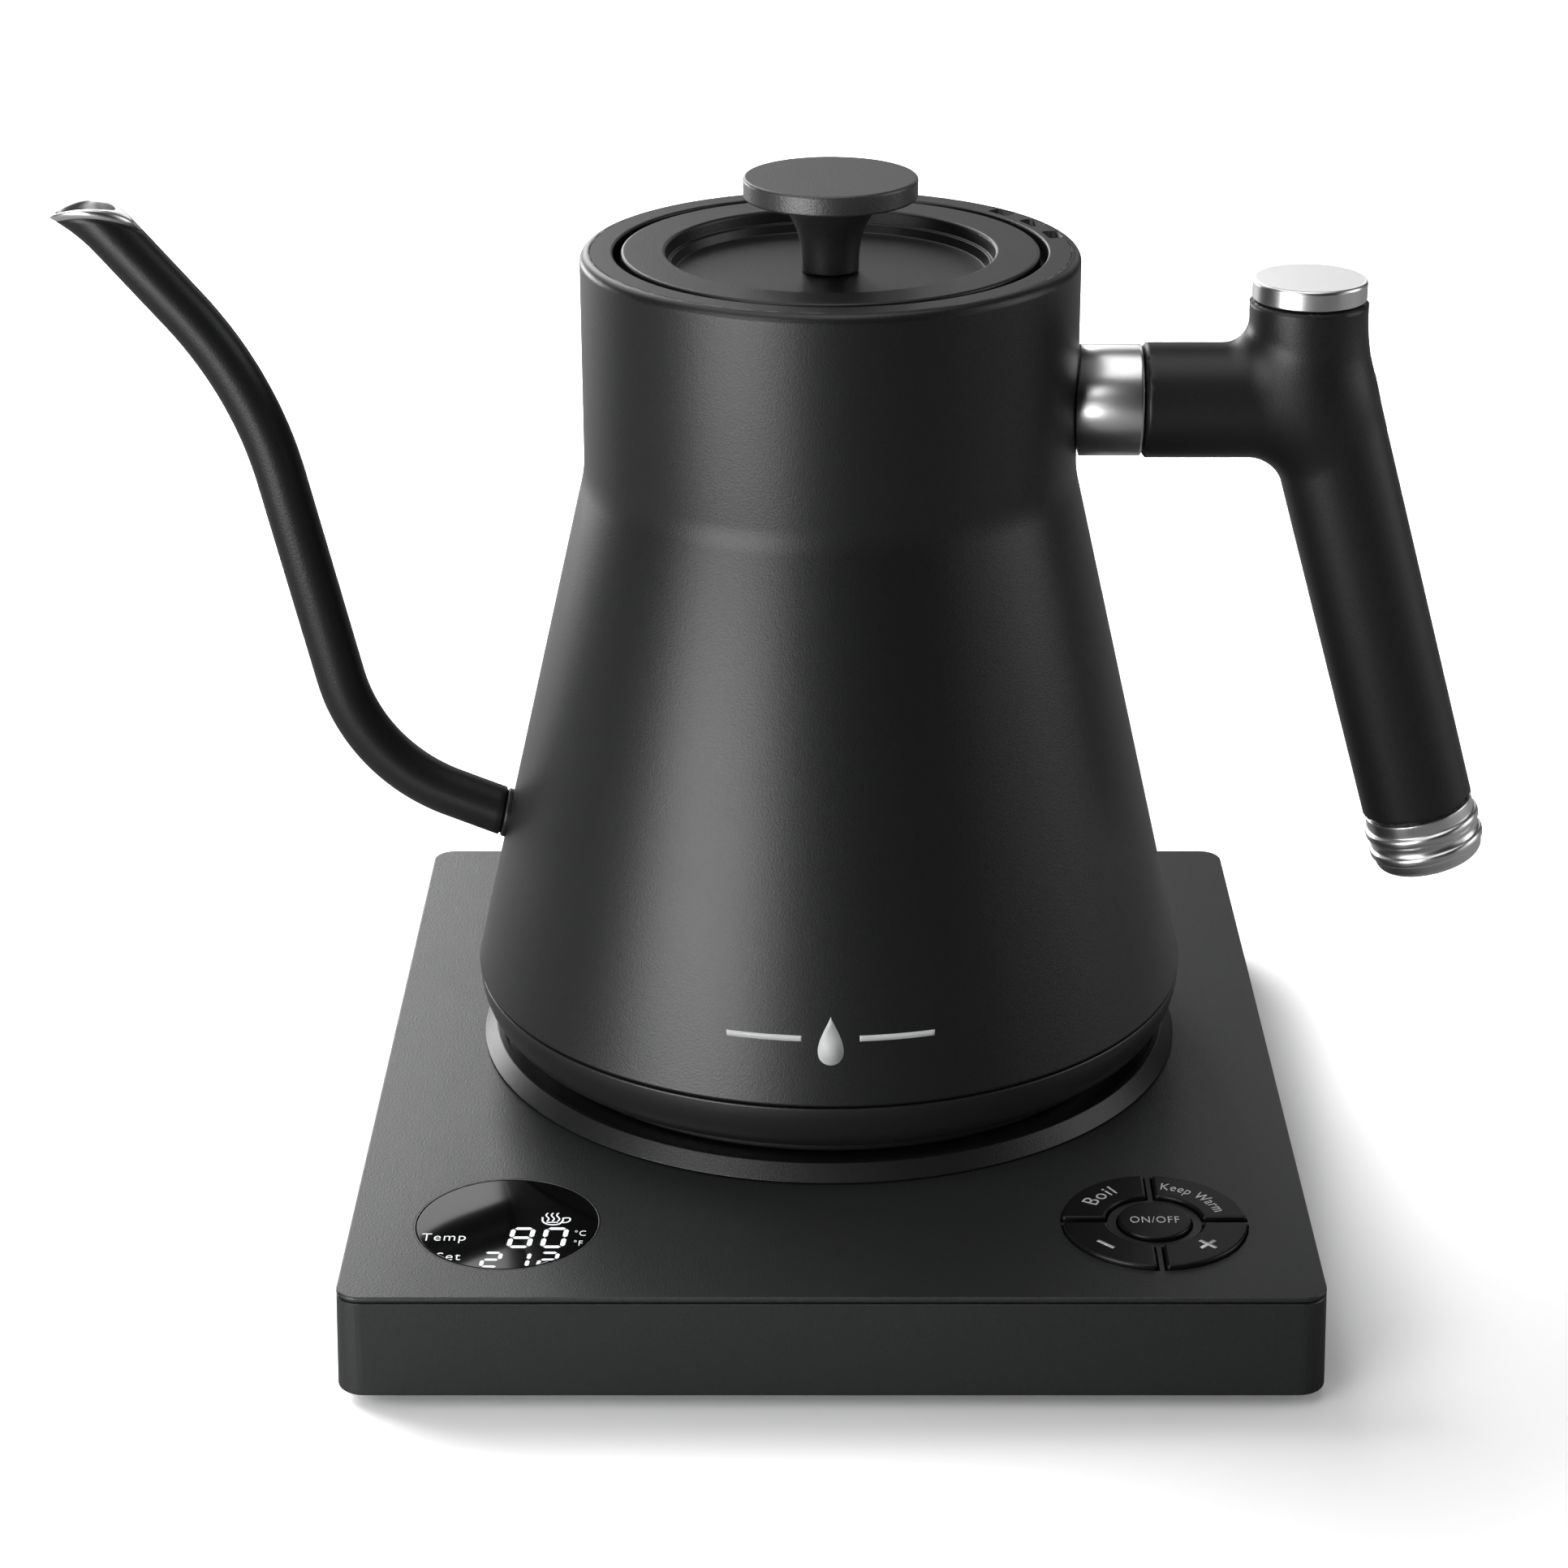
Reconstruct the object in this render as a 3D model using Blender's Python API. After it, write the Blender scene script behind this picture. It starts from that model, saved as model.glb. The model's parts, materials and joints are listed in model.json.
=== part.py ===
"""Gooseneck electric kettle on a square control base, one object for each piece.

Metres, +Z up. The feet stand on z = 0, the controls face -Y and the spout points to -X.
Base pieces hang on the empty base_frame, at the middle of the base on the ground. Everything
that lifts off hangs on the empty kettle_axis, where the kettle's own axis meets the base's top.
"""

import math

import bmesh
import bpy
from mathutils import Matrix, Vector

MM = 0.001

# Gaps
SEAM = 0.3 * MM  # between two pieces that touch
RUNNING = 0.35 * MM  # round a piece that slides or turns

# Base: the shell is a tray upside down, its walls leaning out towards the bottom
BASE_WIDTH = 180 * MM
BASE_DEPTH = 201.8 * MM
BASE_HEIGHT = 20.2 * MM
BASE_CORNER = 4.6 * MM
BASE_LEAN = 0.5 * MM
BASE_WALL = 2.2 * MM
BASE_TOP_THICKNESS = 2.5 * MM
PANEL_THICKNESS = 1.0 * MM
BASE_EDGE = 0.4 * MM
COVER_THICKNESS = 2.0 * MM
FOOT_HEIGHT = 2.5 * MM
FOOT_RADIUS = 6 * MM
FOOT_INSET = 9.8 * MM
FOOT_STUB_RADIUS = 2.2 * MM
SCREW_CLEARANCE = 2 * MM  # between a screw's boss and the display or the keys
SCREW_RADIUS = 1.4 * MM
SCREW_HEAD_RADIUS = 2.7 * MM
SCREW_HEAD_HEIGHT = 1.4 * MM
SCREW_LENGTH = 7 * MM
BOSS_RADIUS = 3.6 * MM
GLAND_RADIUS = 4.6 * MM
GLAND_BORE = 3.4 * MM
GLAND_FLANGE = 1.4 * MM
GLAND_WALL = 0.6 * MM

# Controls, on a line near the front edge
CONTROL_SIDE_INSET = 29.4 * MM
CONTROL_INSET = 27.4 * MM
LENS_RADIUS = 17.2 * MM
LENS_THICKNESS = 1.2 * MM
LENS_LEDGE = 1.6 * MM
MODULE_WIDTH = 27 * MM
MODULE_DEPTH = 21 * MM
KEY_OUTER = 17.3 * MM
KEY_INNER = 9.2 * MM
KEY_CENTRE = 6.9 * MM
KEY_SPACE = 1.6 * MM
KEY_PROUD = 0.9 * MM
KEY_EDGE = 0.4 * MM
KEY_FLANGE = 0.6 * MM
KEY_FLANGE_HEIGHT = 1.1 * MM
KEY_TRAVEL = 0.7 * MM
SWITCH_SIDE = 5 * MM
SWITCH_HEIGHT = 2.4 * MM
BOARD_THICKNESS = 1.6 * MM
CONTROL_BOARD_MARGIN = 11 * MM
CONTROL_BOARD_DEPTH = 26 * MM
POWER_BOARD_WIDTH = 76 * MM
POWER_BOARD_DEPTH = 26 * MM
POWER_BOARD_INSET = 32 * MM
POWER_BOARD_LIFT = 2 * MM
RELAY_HEIGHT = 8 * MM

# Plinth and coupling, round the kettle's axis
KETTLE_SETBACK = 12.7 * MM
PLINTH_INSET = 3.25 * MM  # in from the vessel's foot
PLINTH_SPREAD = 2.6 * MM
PLINTH_HEIGHT = 3.4 * MM
PLINTH_LIP = 1.4 * MM
PLINTH_RECESS = 1.2 * MM
COUPLER_RADIUS = 16.5 * MM
COUPLER_HEIGHT = 9.5 * MM
COUPLER_DEPTH = 12 * MM
COUPLER_WELL = 5.4 * MM
PIN_RADIUS = 1.9 * MM
CONTACT_RADIUS = 11 * MM
CONTACT_WIDTH = 1.6 * MM
SOCKET_WALL = 3.15 * MM
SOCKET_ROOF = 3 * MM
SOCKET_TUBE_WALL = 1.6 * MM

# Vessel: a cone with a straight neck, heights above the base's top
BODY_BASE = 16.8 * MM
BODY_KINK = 121 * MM
BODY_TOP = 164.4 * MM
BODY_FOOT_RADIUS = 72.15 * MM
BODY_RIM = 6.4 * MM  # from the mouth to the neck's outer side
BODY_WALL = 1.0 * MM
BODY_SHOULDER = 2.8 * MM
BODY_HEM = 0.7 * MM
LID_GAP = 1.5 * MM  # between the lid and the mouth
MOUTH_LIP = 5.5 * MM
FLOOR_HEIGHT = 24 * MM
FLOOR_THICKNESS = 1.2 * MM
DIFFUSER_INSET = 15.15 * MM  # in from the vessel's foot, as are the next four
DIFFUSER_THICKNESS = 2.5 * MM
HEATER_INSET = 28.15 * MM
HEATER_TUBE = 3.2 * MM
HEATER_SWEEP = math.radians(305)
SENSOR_RADIUS = 4 * MM
CUTOUT_RADIUS = 7 * MM
CUTOUT_OFFSET = 26 * MM
CUTOUT_HEIGHT = 4 * MM
SKIRT_INSET = 6.15 * MM
SKIRT_WALL = 2 * MM
SKIRT_BELLY = 6 * MM
SKIRT_FLAT = 5.2 * MM
REST_RING_INSET = 11.15 * MM
REST_RING_WIDTH = 3 * MM
POST_INSET = 20.65 * MM
VENT_INSET = 2.8 * MM  # out from the mouth
VENT_WIDTH = 2.2 * MM
VENT_LENGTH = 5.6 * MM
VENT_PITCH = math.radians(12.8)
VENT_FIRST = math.radians(14.1)
VENT_COUNT = 3

# Spout: three straight legs and two bends, in the plane y = 0
SPOUT_ROOT = 46.9 * MM
SPOUT_RADIUS = 4.9 * MM
SPOUT_WALL = 0.8 * MM
SPOUT_COLLAR = 1.4 * MM
SPOUT_ANGLES = (math.radians(22), math.radians(77), math.radians(49.5))
SPOUT_LEGS = (30.9 * MM, 81.2 * MM)
SPOUT_BENDS = (36 * MM, 80 * MM)
SPOUT_TOP = 170.6 * MM
SPOUT_LIP_SLOPE = math.radians(4.6)
SPOUT_LIP_ARCH = 2.4 * MM
SPOUT_LIP_REACH = 8.2 * MM
SPOUT_FLARE = 0.42 * MM
SPOUT_FLARE_LENGTH = 5 * MM
SPOUT_LAST_RING = 9.5 * MM
SPOUT_LIP_BAND = 2.2 * MM
SPOUT_STEEL = 1.3 * MM
SPOUT_SLEEVE = 9 * MM
SPOUT_SLEEVE_WALL = 0.6 * MM

# Handle: a level arm, an upright boss and a slanted grip
ARM_HEIGHT = 134.3 * MM
NECK_LENGTH = 12.3 * MM
ARM_LENGTH = 31.9 * MM
BOSS_TOP = 154.5 * MM
HANDLE_BEND = 145.5 * MM
GRIP_TILT = math.radians(15.8)
GRIP_RADIUS = 11.25 * MM
BOSS_SWELL = 0.25 * MM  # the boss is this much wider than the grip
GRIP_TAPER = 0.15 * MM
ARM_STEP = 0.05 * MM  # the arm is this much thinner than the grip
NECK_STEP = 0.4 * MM  # the neck is this much thinner than the arm
GRIP_LENGTH = 100 * MM
CAP_STEP = 0.45 * MM  # the flat cap is this much narrower than the boss
CAP_HEIGHT = 3.9 * MM
CAP_EDGE = 0.6 * MM
SPIGOT_RADIUS = 7.5 * MM
SPIGOT_DEPTH = 4 * MM
RIB_BAND = 2.3 * MM
RIB_PITCH = 3.6 * MM
RIB_HEIGHT = 0.85 * MM
RIB_STEP = 0.2 * MM  # the ribbed cap is this much narrower than the grip's end
RIB_END_LENGTH = 2.6 * MM
STUD_RADIUS = 2.9 * MM
NUT_RADIUS = 5.2 * MM
NUT_SEAT = 22 * MM  # from the neck's end to the nut's shoulder
NUT_LENGTH = 6 * MM
PLUG_THICKNESS = 5 * MM
PLUG_RADIUS = 5.7 * MM

# Lid, its seat and its knob
LID_RADIUS = 40.2 * MM
LID_THICKNESS = 5.8 * MM
LID_EDGE = 0.5 * MM
LID_RIM = 8 * MM  # from the recess to the lid's edge
LID_RECESS_DEPTH = 4.3 * MM
LID_STEP = 1.6 * MM
LID_STEP_DEPTH = 2.6 * MM
SKIRT_ROOF = 2 * MM
LID_SKIRT_INSET = 2.7 * MM
LID_SKIRT_WALL = 1.8 * MM
LID_SKIRT_HEIGHT = 9.3 * MM
GASKET_HEIGHT = 2.4 * MM
GASKET_DROP = 3.6 * MM
SEAT_LEDGE = 1.6 * MM
SEAT_WALL = 1.8 * MM
KNOB_RADIUS = 16.75 * MM
KNOB_RISE = 14.1 * MM
KNOB_DISC = 4 * MM
KNOB_EDGE = 0.7 * MM
KNOB_STEM_RADIUS = 5.5 * MM
KNOB_FLARE_RADIUS = 12.4 * MM
KNOB_SCREW_RADIUS = 1.9 * MM
KNOB_SCREW_HEAD = 3.8 * MM
KNOB_SCREW_BITE = 8 * MM

BASE_TOP = FOOT_HEIGHT + BASE_HEIGHT
PANEL_BOTTOM = BASE_TOP - PANEL_THICKNESS
SHELL_TOP = PANEL_BOTTOM - SEAM
CEILING = BASE_TOP - BASE_TOP_THICKNESS
COVER_TOP = FOOT_HEIGHT + COVER_THICKNESS
PLINTH_TOP_RADIUS = BODY_FOOT_RADIUS - PLINTH_INSET
PLINTH_FOOT_RADIUS = PLINTH_TOP_RADIUS + PLINTH_SPREAD
SOCKET_RADIUS = COUPLER_RADIUS + RUNNING + SOCKET_WALL
DIFFUSER_RADIUS = BODY_FOOT_RADIUS - DIFFUSER_INSET
HEATER_RADIUS = BODY_FOOT_RADIUS - HEATER_INSET
SKIRT_RADIUS = BODY_FOOT_RADIUS - SKIRT_INSET
REST_RING_RADIUS = BODY_FOOT_RADIUS - REST_RING_INSET
POST_RING = BODY_FOOT_RADIUS - POST_INSET
MOUTH_RADIUS = LID_RADIUS + LID_GAP
VENT_RADIUS = MOUTH_RADIUS + VENT_INSET
BODY_NECK_RADIUS = MOUTH_RADIUS + BODY_RIM
LID_RECESS_RADIUS = LID_RADIUS - LID_RIM
LID_STEP_RADIUS = LID_RECESS_RADIUS - LID_STEP
LID_SKIRT_RADIUS = LID_RADIUS - LID_SKIRT_INSET
LID_BOTTOM = BODY_TOP - LID_THICKNESS
SKIRT_BOTTOM = LID_BOTTOM - SEAM - LID_SKIRT_HEIGHT
PLINTH_FLOOR = PLINTH_HEIGHT - PLINTH_RECESS
HANDLE_BOSS_RADIUS = GRIP_RADIUS + BOSS_SWELL
GRIP_END_RADIUS = GRIP_RADIUS - GRIP_TAPER
ARM_RADIUS = GRIP_RADIUS - ARM_STEP
NECK_RADIUS = ARM_RADIUS - NECK_STEP
NECK_END = BODY_NECK_RADIUS + NECK_LENGTH
BOSS_OFFSET = NECK_END + ARM_LENGTH
CAP_RADIUS = HANDLE_BOSS_RADIUS - CAP_STEP
RIB_ROOT_RADIUS = GRIP_END_RADIUS - RIB_STEP


# Outlines


def circle(radius, z, count, centre=(0.0, 0.0)):
    """A level circle of points round a centre."""
    turns = [2 * math.pi * step / count for step in range(count)]
    return [
        Vector((centre[0] + radius * math.cos(a), centre[1] + radius * math.sin(a), z))
        for a in turns
    ]


def rounded_rectangle(width, depth, radius, z, centre=(0.0, 0.0), steps=4):
    """A level rectangle with rounded corners."""
    points = []
    for quarter, (sx, sy) in enumerate(((1, 1), (-1, 1), (-1, -1), (1, -1))):
        cx = centre[0] + sx * (width / 2 - radius)
        cy = centre[1] + sy * (depth / 2 - radius)
        for step in range(steps + 1):
            a = math.pi / 2 * (quarter + step / steps)
            points.append(Vector((cx + radius * math.cos(a), cy + radius * math.sin(a), z)))
    return points


def key_outline(quarter, grow, z, steps=8):
    """A quarter ring between two arcs, its straight sides parallel to X and Y; grow widens it."""
    side = KEY_SPACE / 2 - grow
    inner = KEY_INNER - grow
    outer = KEY_OUTER + grow
    turn = math.pi / 2 * quarter
    points = []
    for radius, order in ((outer, range(steps + 1)), (inner, range(steps, -1, -1))):
        edge = math.asin(side / radius)
        for step in order:
            a = turn + edge + (math.pi / 2 - 2 * edge) * step / steps
            points.append(Vector((radius * math.cos(a), radius * math.sin(a), z)))
    return points


def turned(profile, count, centre=(0.0, 0.0)):
    """Circles for a turned shape, from (radius, height) pairs."""
    return [circle(radius, z, count, centre) for radius, z in profile]


def placed(loops, matrix):
    """The same loops, moved by a matrix."""
    return [[matrix @ point for point in loop] for loop in loops]


def along(point, direction):
    """A matrix that stands a turned shape on a point, with its axis along a direction."""
    turn = Vector(direction).to_track_quat("Z", "X").to_matrix().to_4x4()
    return Matrix.Translation(point) @ turn


def arc(centre, radius, start, end, steps):
    """(radius, height) pairs on an arc of a turned profile, angles in degrees."""
    angles = [math.radians(start + (end - start) * step / steps) for step in range(steps + 1)]
    return [(centre[0] + radius * math.cos(a), centre[1] + radius * math.sin(a)) for a in angles]


# Solids


def add_skin(mesh, loops, ring):
    """Adds one closed body through the loops: capped at both ends, or joined end to end."""
    rows = [[mesh.verts.new(point) for point in loop] for loop in loops]
    pairs = list(zip(rows, rows[1:]))
    if ring:
        pairs.append((rows[-1], rows[0]))
    else:
        mesh.faces.new(rows[0])
        mesh.faces.new(reversed(rows[-1]))
    for low, high in pairs:
        for i in range(len(low)):
            j = (i + 1) % len(low)
            mesh.faces.new((low[j], low[i], high[i], high[j]))


def add_object(name, shapes, parent):
    """An object with a body for each (loops, ring) pair, its faces turned outwards."""
    build = bmesh.new()
    for loops, ring in shapes:
        add_skin(build, loops, ring)
    bmesh.ops.recalc_face_normals(build, faces=build.faces)
    mesh = bpy.data.meshes.new(name)
    build.to_mesh(mesh)
    build.free()
    mesh.shade_smooth()
    mesh.set_sharp_from_angle(angle=math.radians(32))
    item = bpy.data.objects.new(name, mesh)
    bpy.context.scene.collection.objects.link(item)
    item.parent = parent
    return item


def piece(name, loops, material, parent, ring=False):
    """One solid piece with its material."""
    item = add_object(name, [(loops, ring)], parent)
    item.data.materials.append(material)
    return item


def tool(name, solids, parent):
    """A hidden helper solid for a Boolean, made of capped bodies."""
    item = add_object(name, [(loops, False) for loops in solids], parent)
    item.hide_render = True
    item.display_type = "WIRE"
    return item


def combine(item, helper, operation):
    """Adds a live Boolean to a piece."""
    step = item.modifiers.new(helper.name, "BOOLEAN")
    step.operation = operation
    step.solver = "EXACT"
    step.use_self = True
    step.object = helper


def add_empty(name, location):
    """An empty that other objects hang on."""
    item = bpy.data.objects.new(name, None)
    item.location = location
    bpy.context.scene.collection.objects.link(item)
    return item


def add_material(name, colour, roughness, metallic):
    """A Principled material with one colour."""
    material = bpy.data.materials.new(name)
    material.use_nodes = True
    shader = material.node_tree.nodes["Principled BSDF"]
    shader.inputs["Base Color"].default_value = (*colour, 1.0)
    shader.inputs["Roughness"].default_value = roughness
    shader.inputs["Metallic"].default_value = metallic
    material.diffuse_color = (*colour, 1.0)
    return material


# Base


def base_outline(inset, lean, z):
    """The base's outline in from its top edge, let out by its lean."""
    width = BASE_WIDTH + 2 * (lean - inset)
    depth = BASE_DEPTH + 2 * (lean - inset)
    return rounded_rectangle(width, depth, max(BASE_CORNER + lean - inset, BASE_EDGE), z, steps=8)


def base_edge(lean, z, rise):
    """Outlines round an edge of the base, from its side at a height to its flat, rise up or down."""
    turns = [math.pi / 2 * step / 3 for step in range(4)]
    return [
        base_outline(BASE_EDGE * (1 - math.cos(a)), lean, z + rise * BASE_EDGE * math.sin(a))
        for a in turns
    ]


def foot_places():
    """The feet's places, named by corner."""
    x = BASE_WIDTH / 2 - FOOT_INSET
    y = BASE_DEPTH / 2 - FOOT_INSET
    return {
        "front_left": (-x, -y),
        "front_right": (x, -y),
        "rear_left": (-x, y),
        "rear_right": (x, y),
    }


def screw_places():
    """The cover screws' places, named by corner, between the display and the keys."""
    reach = max(KEY_OUTER + KEY_FLANGE, LENS_RADIUS) + SCREW_CLEARANCE + BOSS_RADIUS
    x = control_place(1)[0] - reach
    y = BASE_DEPTH / 2 - FOOT_INSET
    return {
        "front_left": (-x, -y),
        "front_right": (x, -y),
        "rear_left": (-x, y),
        "rear_right": (x, y),
    }


def control_place(side):
    """The middle of the display (-1) or of the keys (1)."""
    return (side * (BASE_WIDTH / 2 - CONTROL_SIDE_INSET), CONTROL_INSET - BASE_DEPTH / 2)


def gland_height():
    """The cord gland's height, halfway up the rear wall."""
    return FOOT_HEIGHT + BASE_HEIGHT / 2


def base_cutters():
    """What is cut through the panel and the shell: the window, coupling hole and key holes."""
    low = CEILING - BASE_TOP_THICKNESS
    high = BASE_TOP + BASE_TOP_THICKNESS
    window = control_place(-1)
    lens_floor = BASE_TOP - LENS_THICKNESS - SEAM
    cutters = [
        turned([(LENS_RADIUS + SEAM, lens_floor), (LENS_RADIUS + SEAM, high)], 48, window),
        turned([(LENS_RADIUS - LENS_LEDGE, low), (LENS_RADIUS - LENS_LEDGE, high)], 40, window),
        turned(
            [(COUPLER_RADIUS + SEAM, low), (COUPLER_RADIUS + SEAM, high)], 40, (0, KETTLE_SETBACK)
        ),
    ]
    keys = Matrix.Translation((*control_place(1), 0))
    cutters.append(placed(turned([(KEY_CENTRE + RUNNING, low), (KEY_CENTRE + RUNNING, high)], 32), keys))
    for quarter in range(4):
        hole = [key_outline(quarter, RUNNING, low), key_outline(quarter, RUNNING, high)]
        cutters.append(placed(hole, keys))
    return cutters


def wall_cutters():
    """What is cut from the shell alone: the gland's hole and seat, and the screws' pilots."""
    wall = BASE_DEPTH / 2
    bush = GLAND_BORE + GLAND_WALL + SEAM
    flange = GLAND_RADIUS + SEAM
    gland = along((0, wall - 2 * BASE_WALL, gland_height()), (0, 1, 0))
    seat = along((0, wall - GLAND_FLANGE + BASE_LEAN / 2, gland_height()), (0, 1, 0))
    cutters = [
        placed(turned([(bush, 0), (bush, 4 * BASE_WALL)], 24), gland),
        placed(turned([(flange, 0), (flange, 2 * BASE_WALL)], 24), seat),
    ]
    for place in screw_places().values():
        pilot = [(SCREW_RADIUS + SEAM, 0), (SCREW_RADIUS + SEAM, COVER_TOP + SCREW_LENGTH)]
        cutters.append(turned(pilot, 16, place))
    return cutters


def make_panel(material, parent):
    """The base's top panel, laid on the shell."""
    loops = [base_outline(BASE_EDGE / 2, 0, PANEL_BOTTOM)]
    loops += [base_outline(0, 0, PANEL_BOTTOM + BASE_EDGE / 2)]
    loops += base_edge(0, BASE_TOP - BASE_EDGE, 1)
    panel = piece("base_top_panel", loops, material, parent)
    combine(panel, tool("panel_cutter", base_cutters(), parent), "DIFFERENCE")


def make_shell(material, parent):
    """The base's shell, with four bosses for the cover's screws."""
    loops = [base_outline(BASE_WALL, 0, CEILING), base_outline(BASE_WALL, BASE_LEAN, FOOT_HEIGHT)]
    loops += reversed(base_edge(BASE_LEAN, FOOT_HEIGHT + BASE_EDGE, -1))
    loops += [base_outline(0, 0, SHELL_TOP - BASE_EDGE / 2)]
    loops += [base_outline(BASE_EDGE / 2, 0, SHELL_TOP)]
    shell = piece("base_shell", loops, material, parent)
    column = [(BOSS_RADIUS, COVER_TOP + SEAM), (BOSS_RADIUS, (CEILING + SHELL_TOP) / 2)]
    bosses = tool("boss_helper", [turned(column, 20, at) for at in screw_places().values()], parent)
    combine(shell, bosses, "UNION")
    cutters = base_cutters() + wall_cutters()
    combine(shell, tool("shell_cutter", cutters, parent), "DIFFERENCE")


def make_cover(material, parent):
    """The plate that closes the base from below, with holes for its screws and the feet."""
    inset = BASE_WALL + SEAM
    loops = [
        base_outline(inset, BASE_LEAN, FOOT_HEIGHT),
        base_outline(inset, BASE_LEAN, COVER_TOP),
    ]
    cover = piece("base_bottom_cover", loops, material, parent)
    holes = []
    for place in screw_places().values():
        head = FOOT_HEIGHT + SCREW_HEAD_HEIGHT
        holes.append(turned([(SCREW_HEAD_RADIUS + SEAM, 0), (SCREW_HEAD_RADIUS + SEAM, head)], 20, place))
        holes.append(turned([(SCREW_RADIUS + SEAM, 0), (SCREW_RADIUS + SEAM, BASE_TOP)], 16, place))
    for place in foot_places().values():
        holes.append(turned([(FOOT_STUB_RADIUS + SEAM, 0), (FOOT_STUB_RADIUS + SEAM, BASE_TOP)], 16, place))
    combine(cover, tool("cover_cutter", holes, parent), "DIFFERENCE")


def make_feet(material, parent):
    """Four rubber feet, each with a stub in the cover."""
    top = FOOT_HEIGHT - SEAM
    profile = [
        (FOOT_RADIUS - 0.6 * MM, 0),
        (FOOT_RADIUS, 0.6 * MM),
        (FOOT_RADIUS, top),
        (FOOT_STUB_RADIUS, top),
        (FOOT_STUB_RADIUS, COVER_TOP),
    ]
    for corner, place in foot_places().items():
        piece("foot_" + corner, turned(profile, 24, place), material, parent)


def screw_profile(head_bottom, length):
    """A cheese-head screw that points up, its head at the bottom."""
    head_top = head_bottom + SCREW_HEAD_HEIGHT - SEAM
    return [
        (SCREW_HEAD_RADIUS, head_bottom),
        (SCREW_HEAD_RADIUS, head_top),
        (SCREW_RADIUS, head_top),
        (SCREW_RADIUS, head_top + length),
    ]


def make_base_screws(material, parent):
    """Four screws that hold the cover to the shell's bosses."""
    for corner, place in screw_places().items():
        profile = screw_profile(FOOT_HEIGHT, SCREW_LENGTH)
        piece("base_screw_" + corner, turned(profile, 16, place), material, parent)


def make_gland(material, parent):
    """The bush in the rear wall where the mains lead goes in."""
    face = BASE_DEPTH / 2 + BASE_LEAN / 2
    flange = GLAND_FLANGE - SEAM
    profile = [
        (GLAND_BORE, 0),
        (GLAND_RADIUS, 0),
        (GLAND_RADIUS, -flange),
        (GLAND_BORE + GLAND_WALL, -flange),
        (GLAND_BORE + GLAND_WALL, -2 * BASE_WALL),
        (GLAND_BORE, -2 * BASE_WALL),
    ]
    loops = placed(turned(profile, 24), along((0, face, gland_height()), (0, 1, 0)))
    piece("cord_gland", loops, material, parent, ring=True)


def make_display(lens_material, module_material, parent):
    """The round lens, let in flush, and the display module behind it."""
    place = control_place(-1)
    profile = [
        (LENS_RADIUS, BASE_TOP - LENS_THICKNESS),
        (LENS_RADIUS, BASE_TOP - 0.2 * MM),
        (LENS_RADIUS - 0.2 * MM, BASE_TOP),
    ]
    piece("display_lens", turned(profile, 48, place), lens_material, parent)
    size = (MODULE_WIDTH, MODULE_DEPTH, 1 * MM)
    loops = [
        rounded_rectangle(*size, board_top() + SEAM, place, steps=1),
        rounded_rectangle(*size, CEILING - SEAM, place, steps=1),
    ]
    piece("display_module", loops, module_material, parent)


def flange_bottom():
    """The underside of a key's flange."""
    return CEILING - SEAM - KEY_FLANGE_HEIGHT


def board_top():
    """The control board's upper side, a switch below the keys at the end of their travel."""
    return flange_bottom() - KEY_TRAVEL - SEAM - SWITCH_HEIGHT - SEAM


def make_keys(material, parent):
    """Five push keys, each with its origin on its own axis of travel."""
    flange_low = flange_bottom() - BASE_TOP
    flange_high = flange_low + KEY_FLANGE_HEIGHT
    levels = (
        (KEY_FLANGE, flange_low),
        (KEY_FLANGE, flange_high),
        (0, flange_high),
        (0, KEY_PROUD - KEY_EDGE),
        (-KEY_EDGE, KEY_PROUD),
    )
    names = ("key_keep_warm", "key_boil", "key_minus", "key_plus")
    middle = (*control_place(1), BASE_TOP)
    for quarter, name in enumerate(names):
        loops = [key_outline(quarter, grow, z) for grow, z in levels]
        key = piece(name, loops, material, parent)
        key.location = middle
    centre = [(KEY_CENTRE + grow, z) for grow, z in levels]
    key = piece("key_power", turned(centre, 32), material, parent)
    key.location = middle


def key_middle(quarter):
    """The middle of a quarter key, from the middle of the keys."""
    reach = (KEY_INNER + KEY_OUTER) / 2
    a = math.pi / 2 * (quarter + 0.5)
    return (reach * math.cos(a), reach * math.sin(a))


def make_switches(material, parent):
    """A tact switch under each key."""
    places = {"power": (0, 0)}
    for quarter, name in enumerate(("keep_warm", "boil", "minus", "plus")):
        places[name] = key_middle(quarter)
    x, y = control_place(1)
    low = board_top() + SEAM
    for name, (dx, dy) in places.items():
        centre = (x + dx, y + dy)
        side = SWITCH_SIDE
        loops = [
            rounded_rectangle(side, side, 0.5 * MM, low, centre, steps=1),
            rounded_rectangle(side, side, 0.5 * MM, low + 0.7 * SWITCH_HEIGHT, centre, steps=1),
            rounded_rectangle(side / 2, side / 2, 0.5 * MM, low + 0.7 * SWITCH_HEIGHT, centre, steps=1),
            rounded_rectangle(side / 2, side / 2, 0.5 * MM, low + SWITCH_HEIGHT, centre, steps=1),
        ]
        piece("switch_" + name, loops, material, parent)


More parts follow.
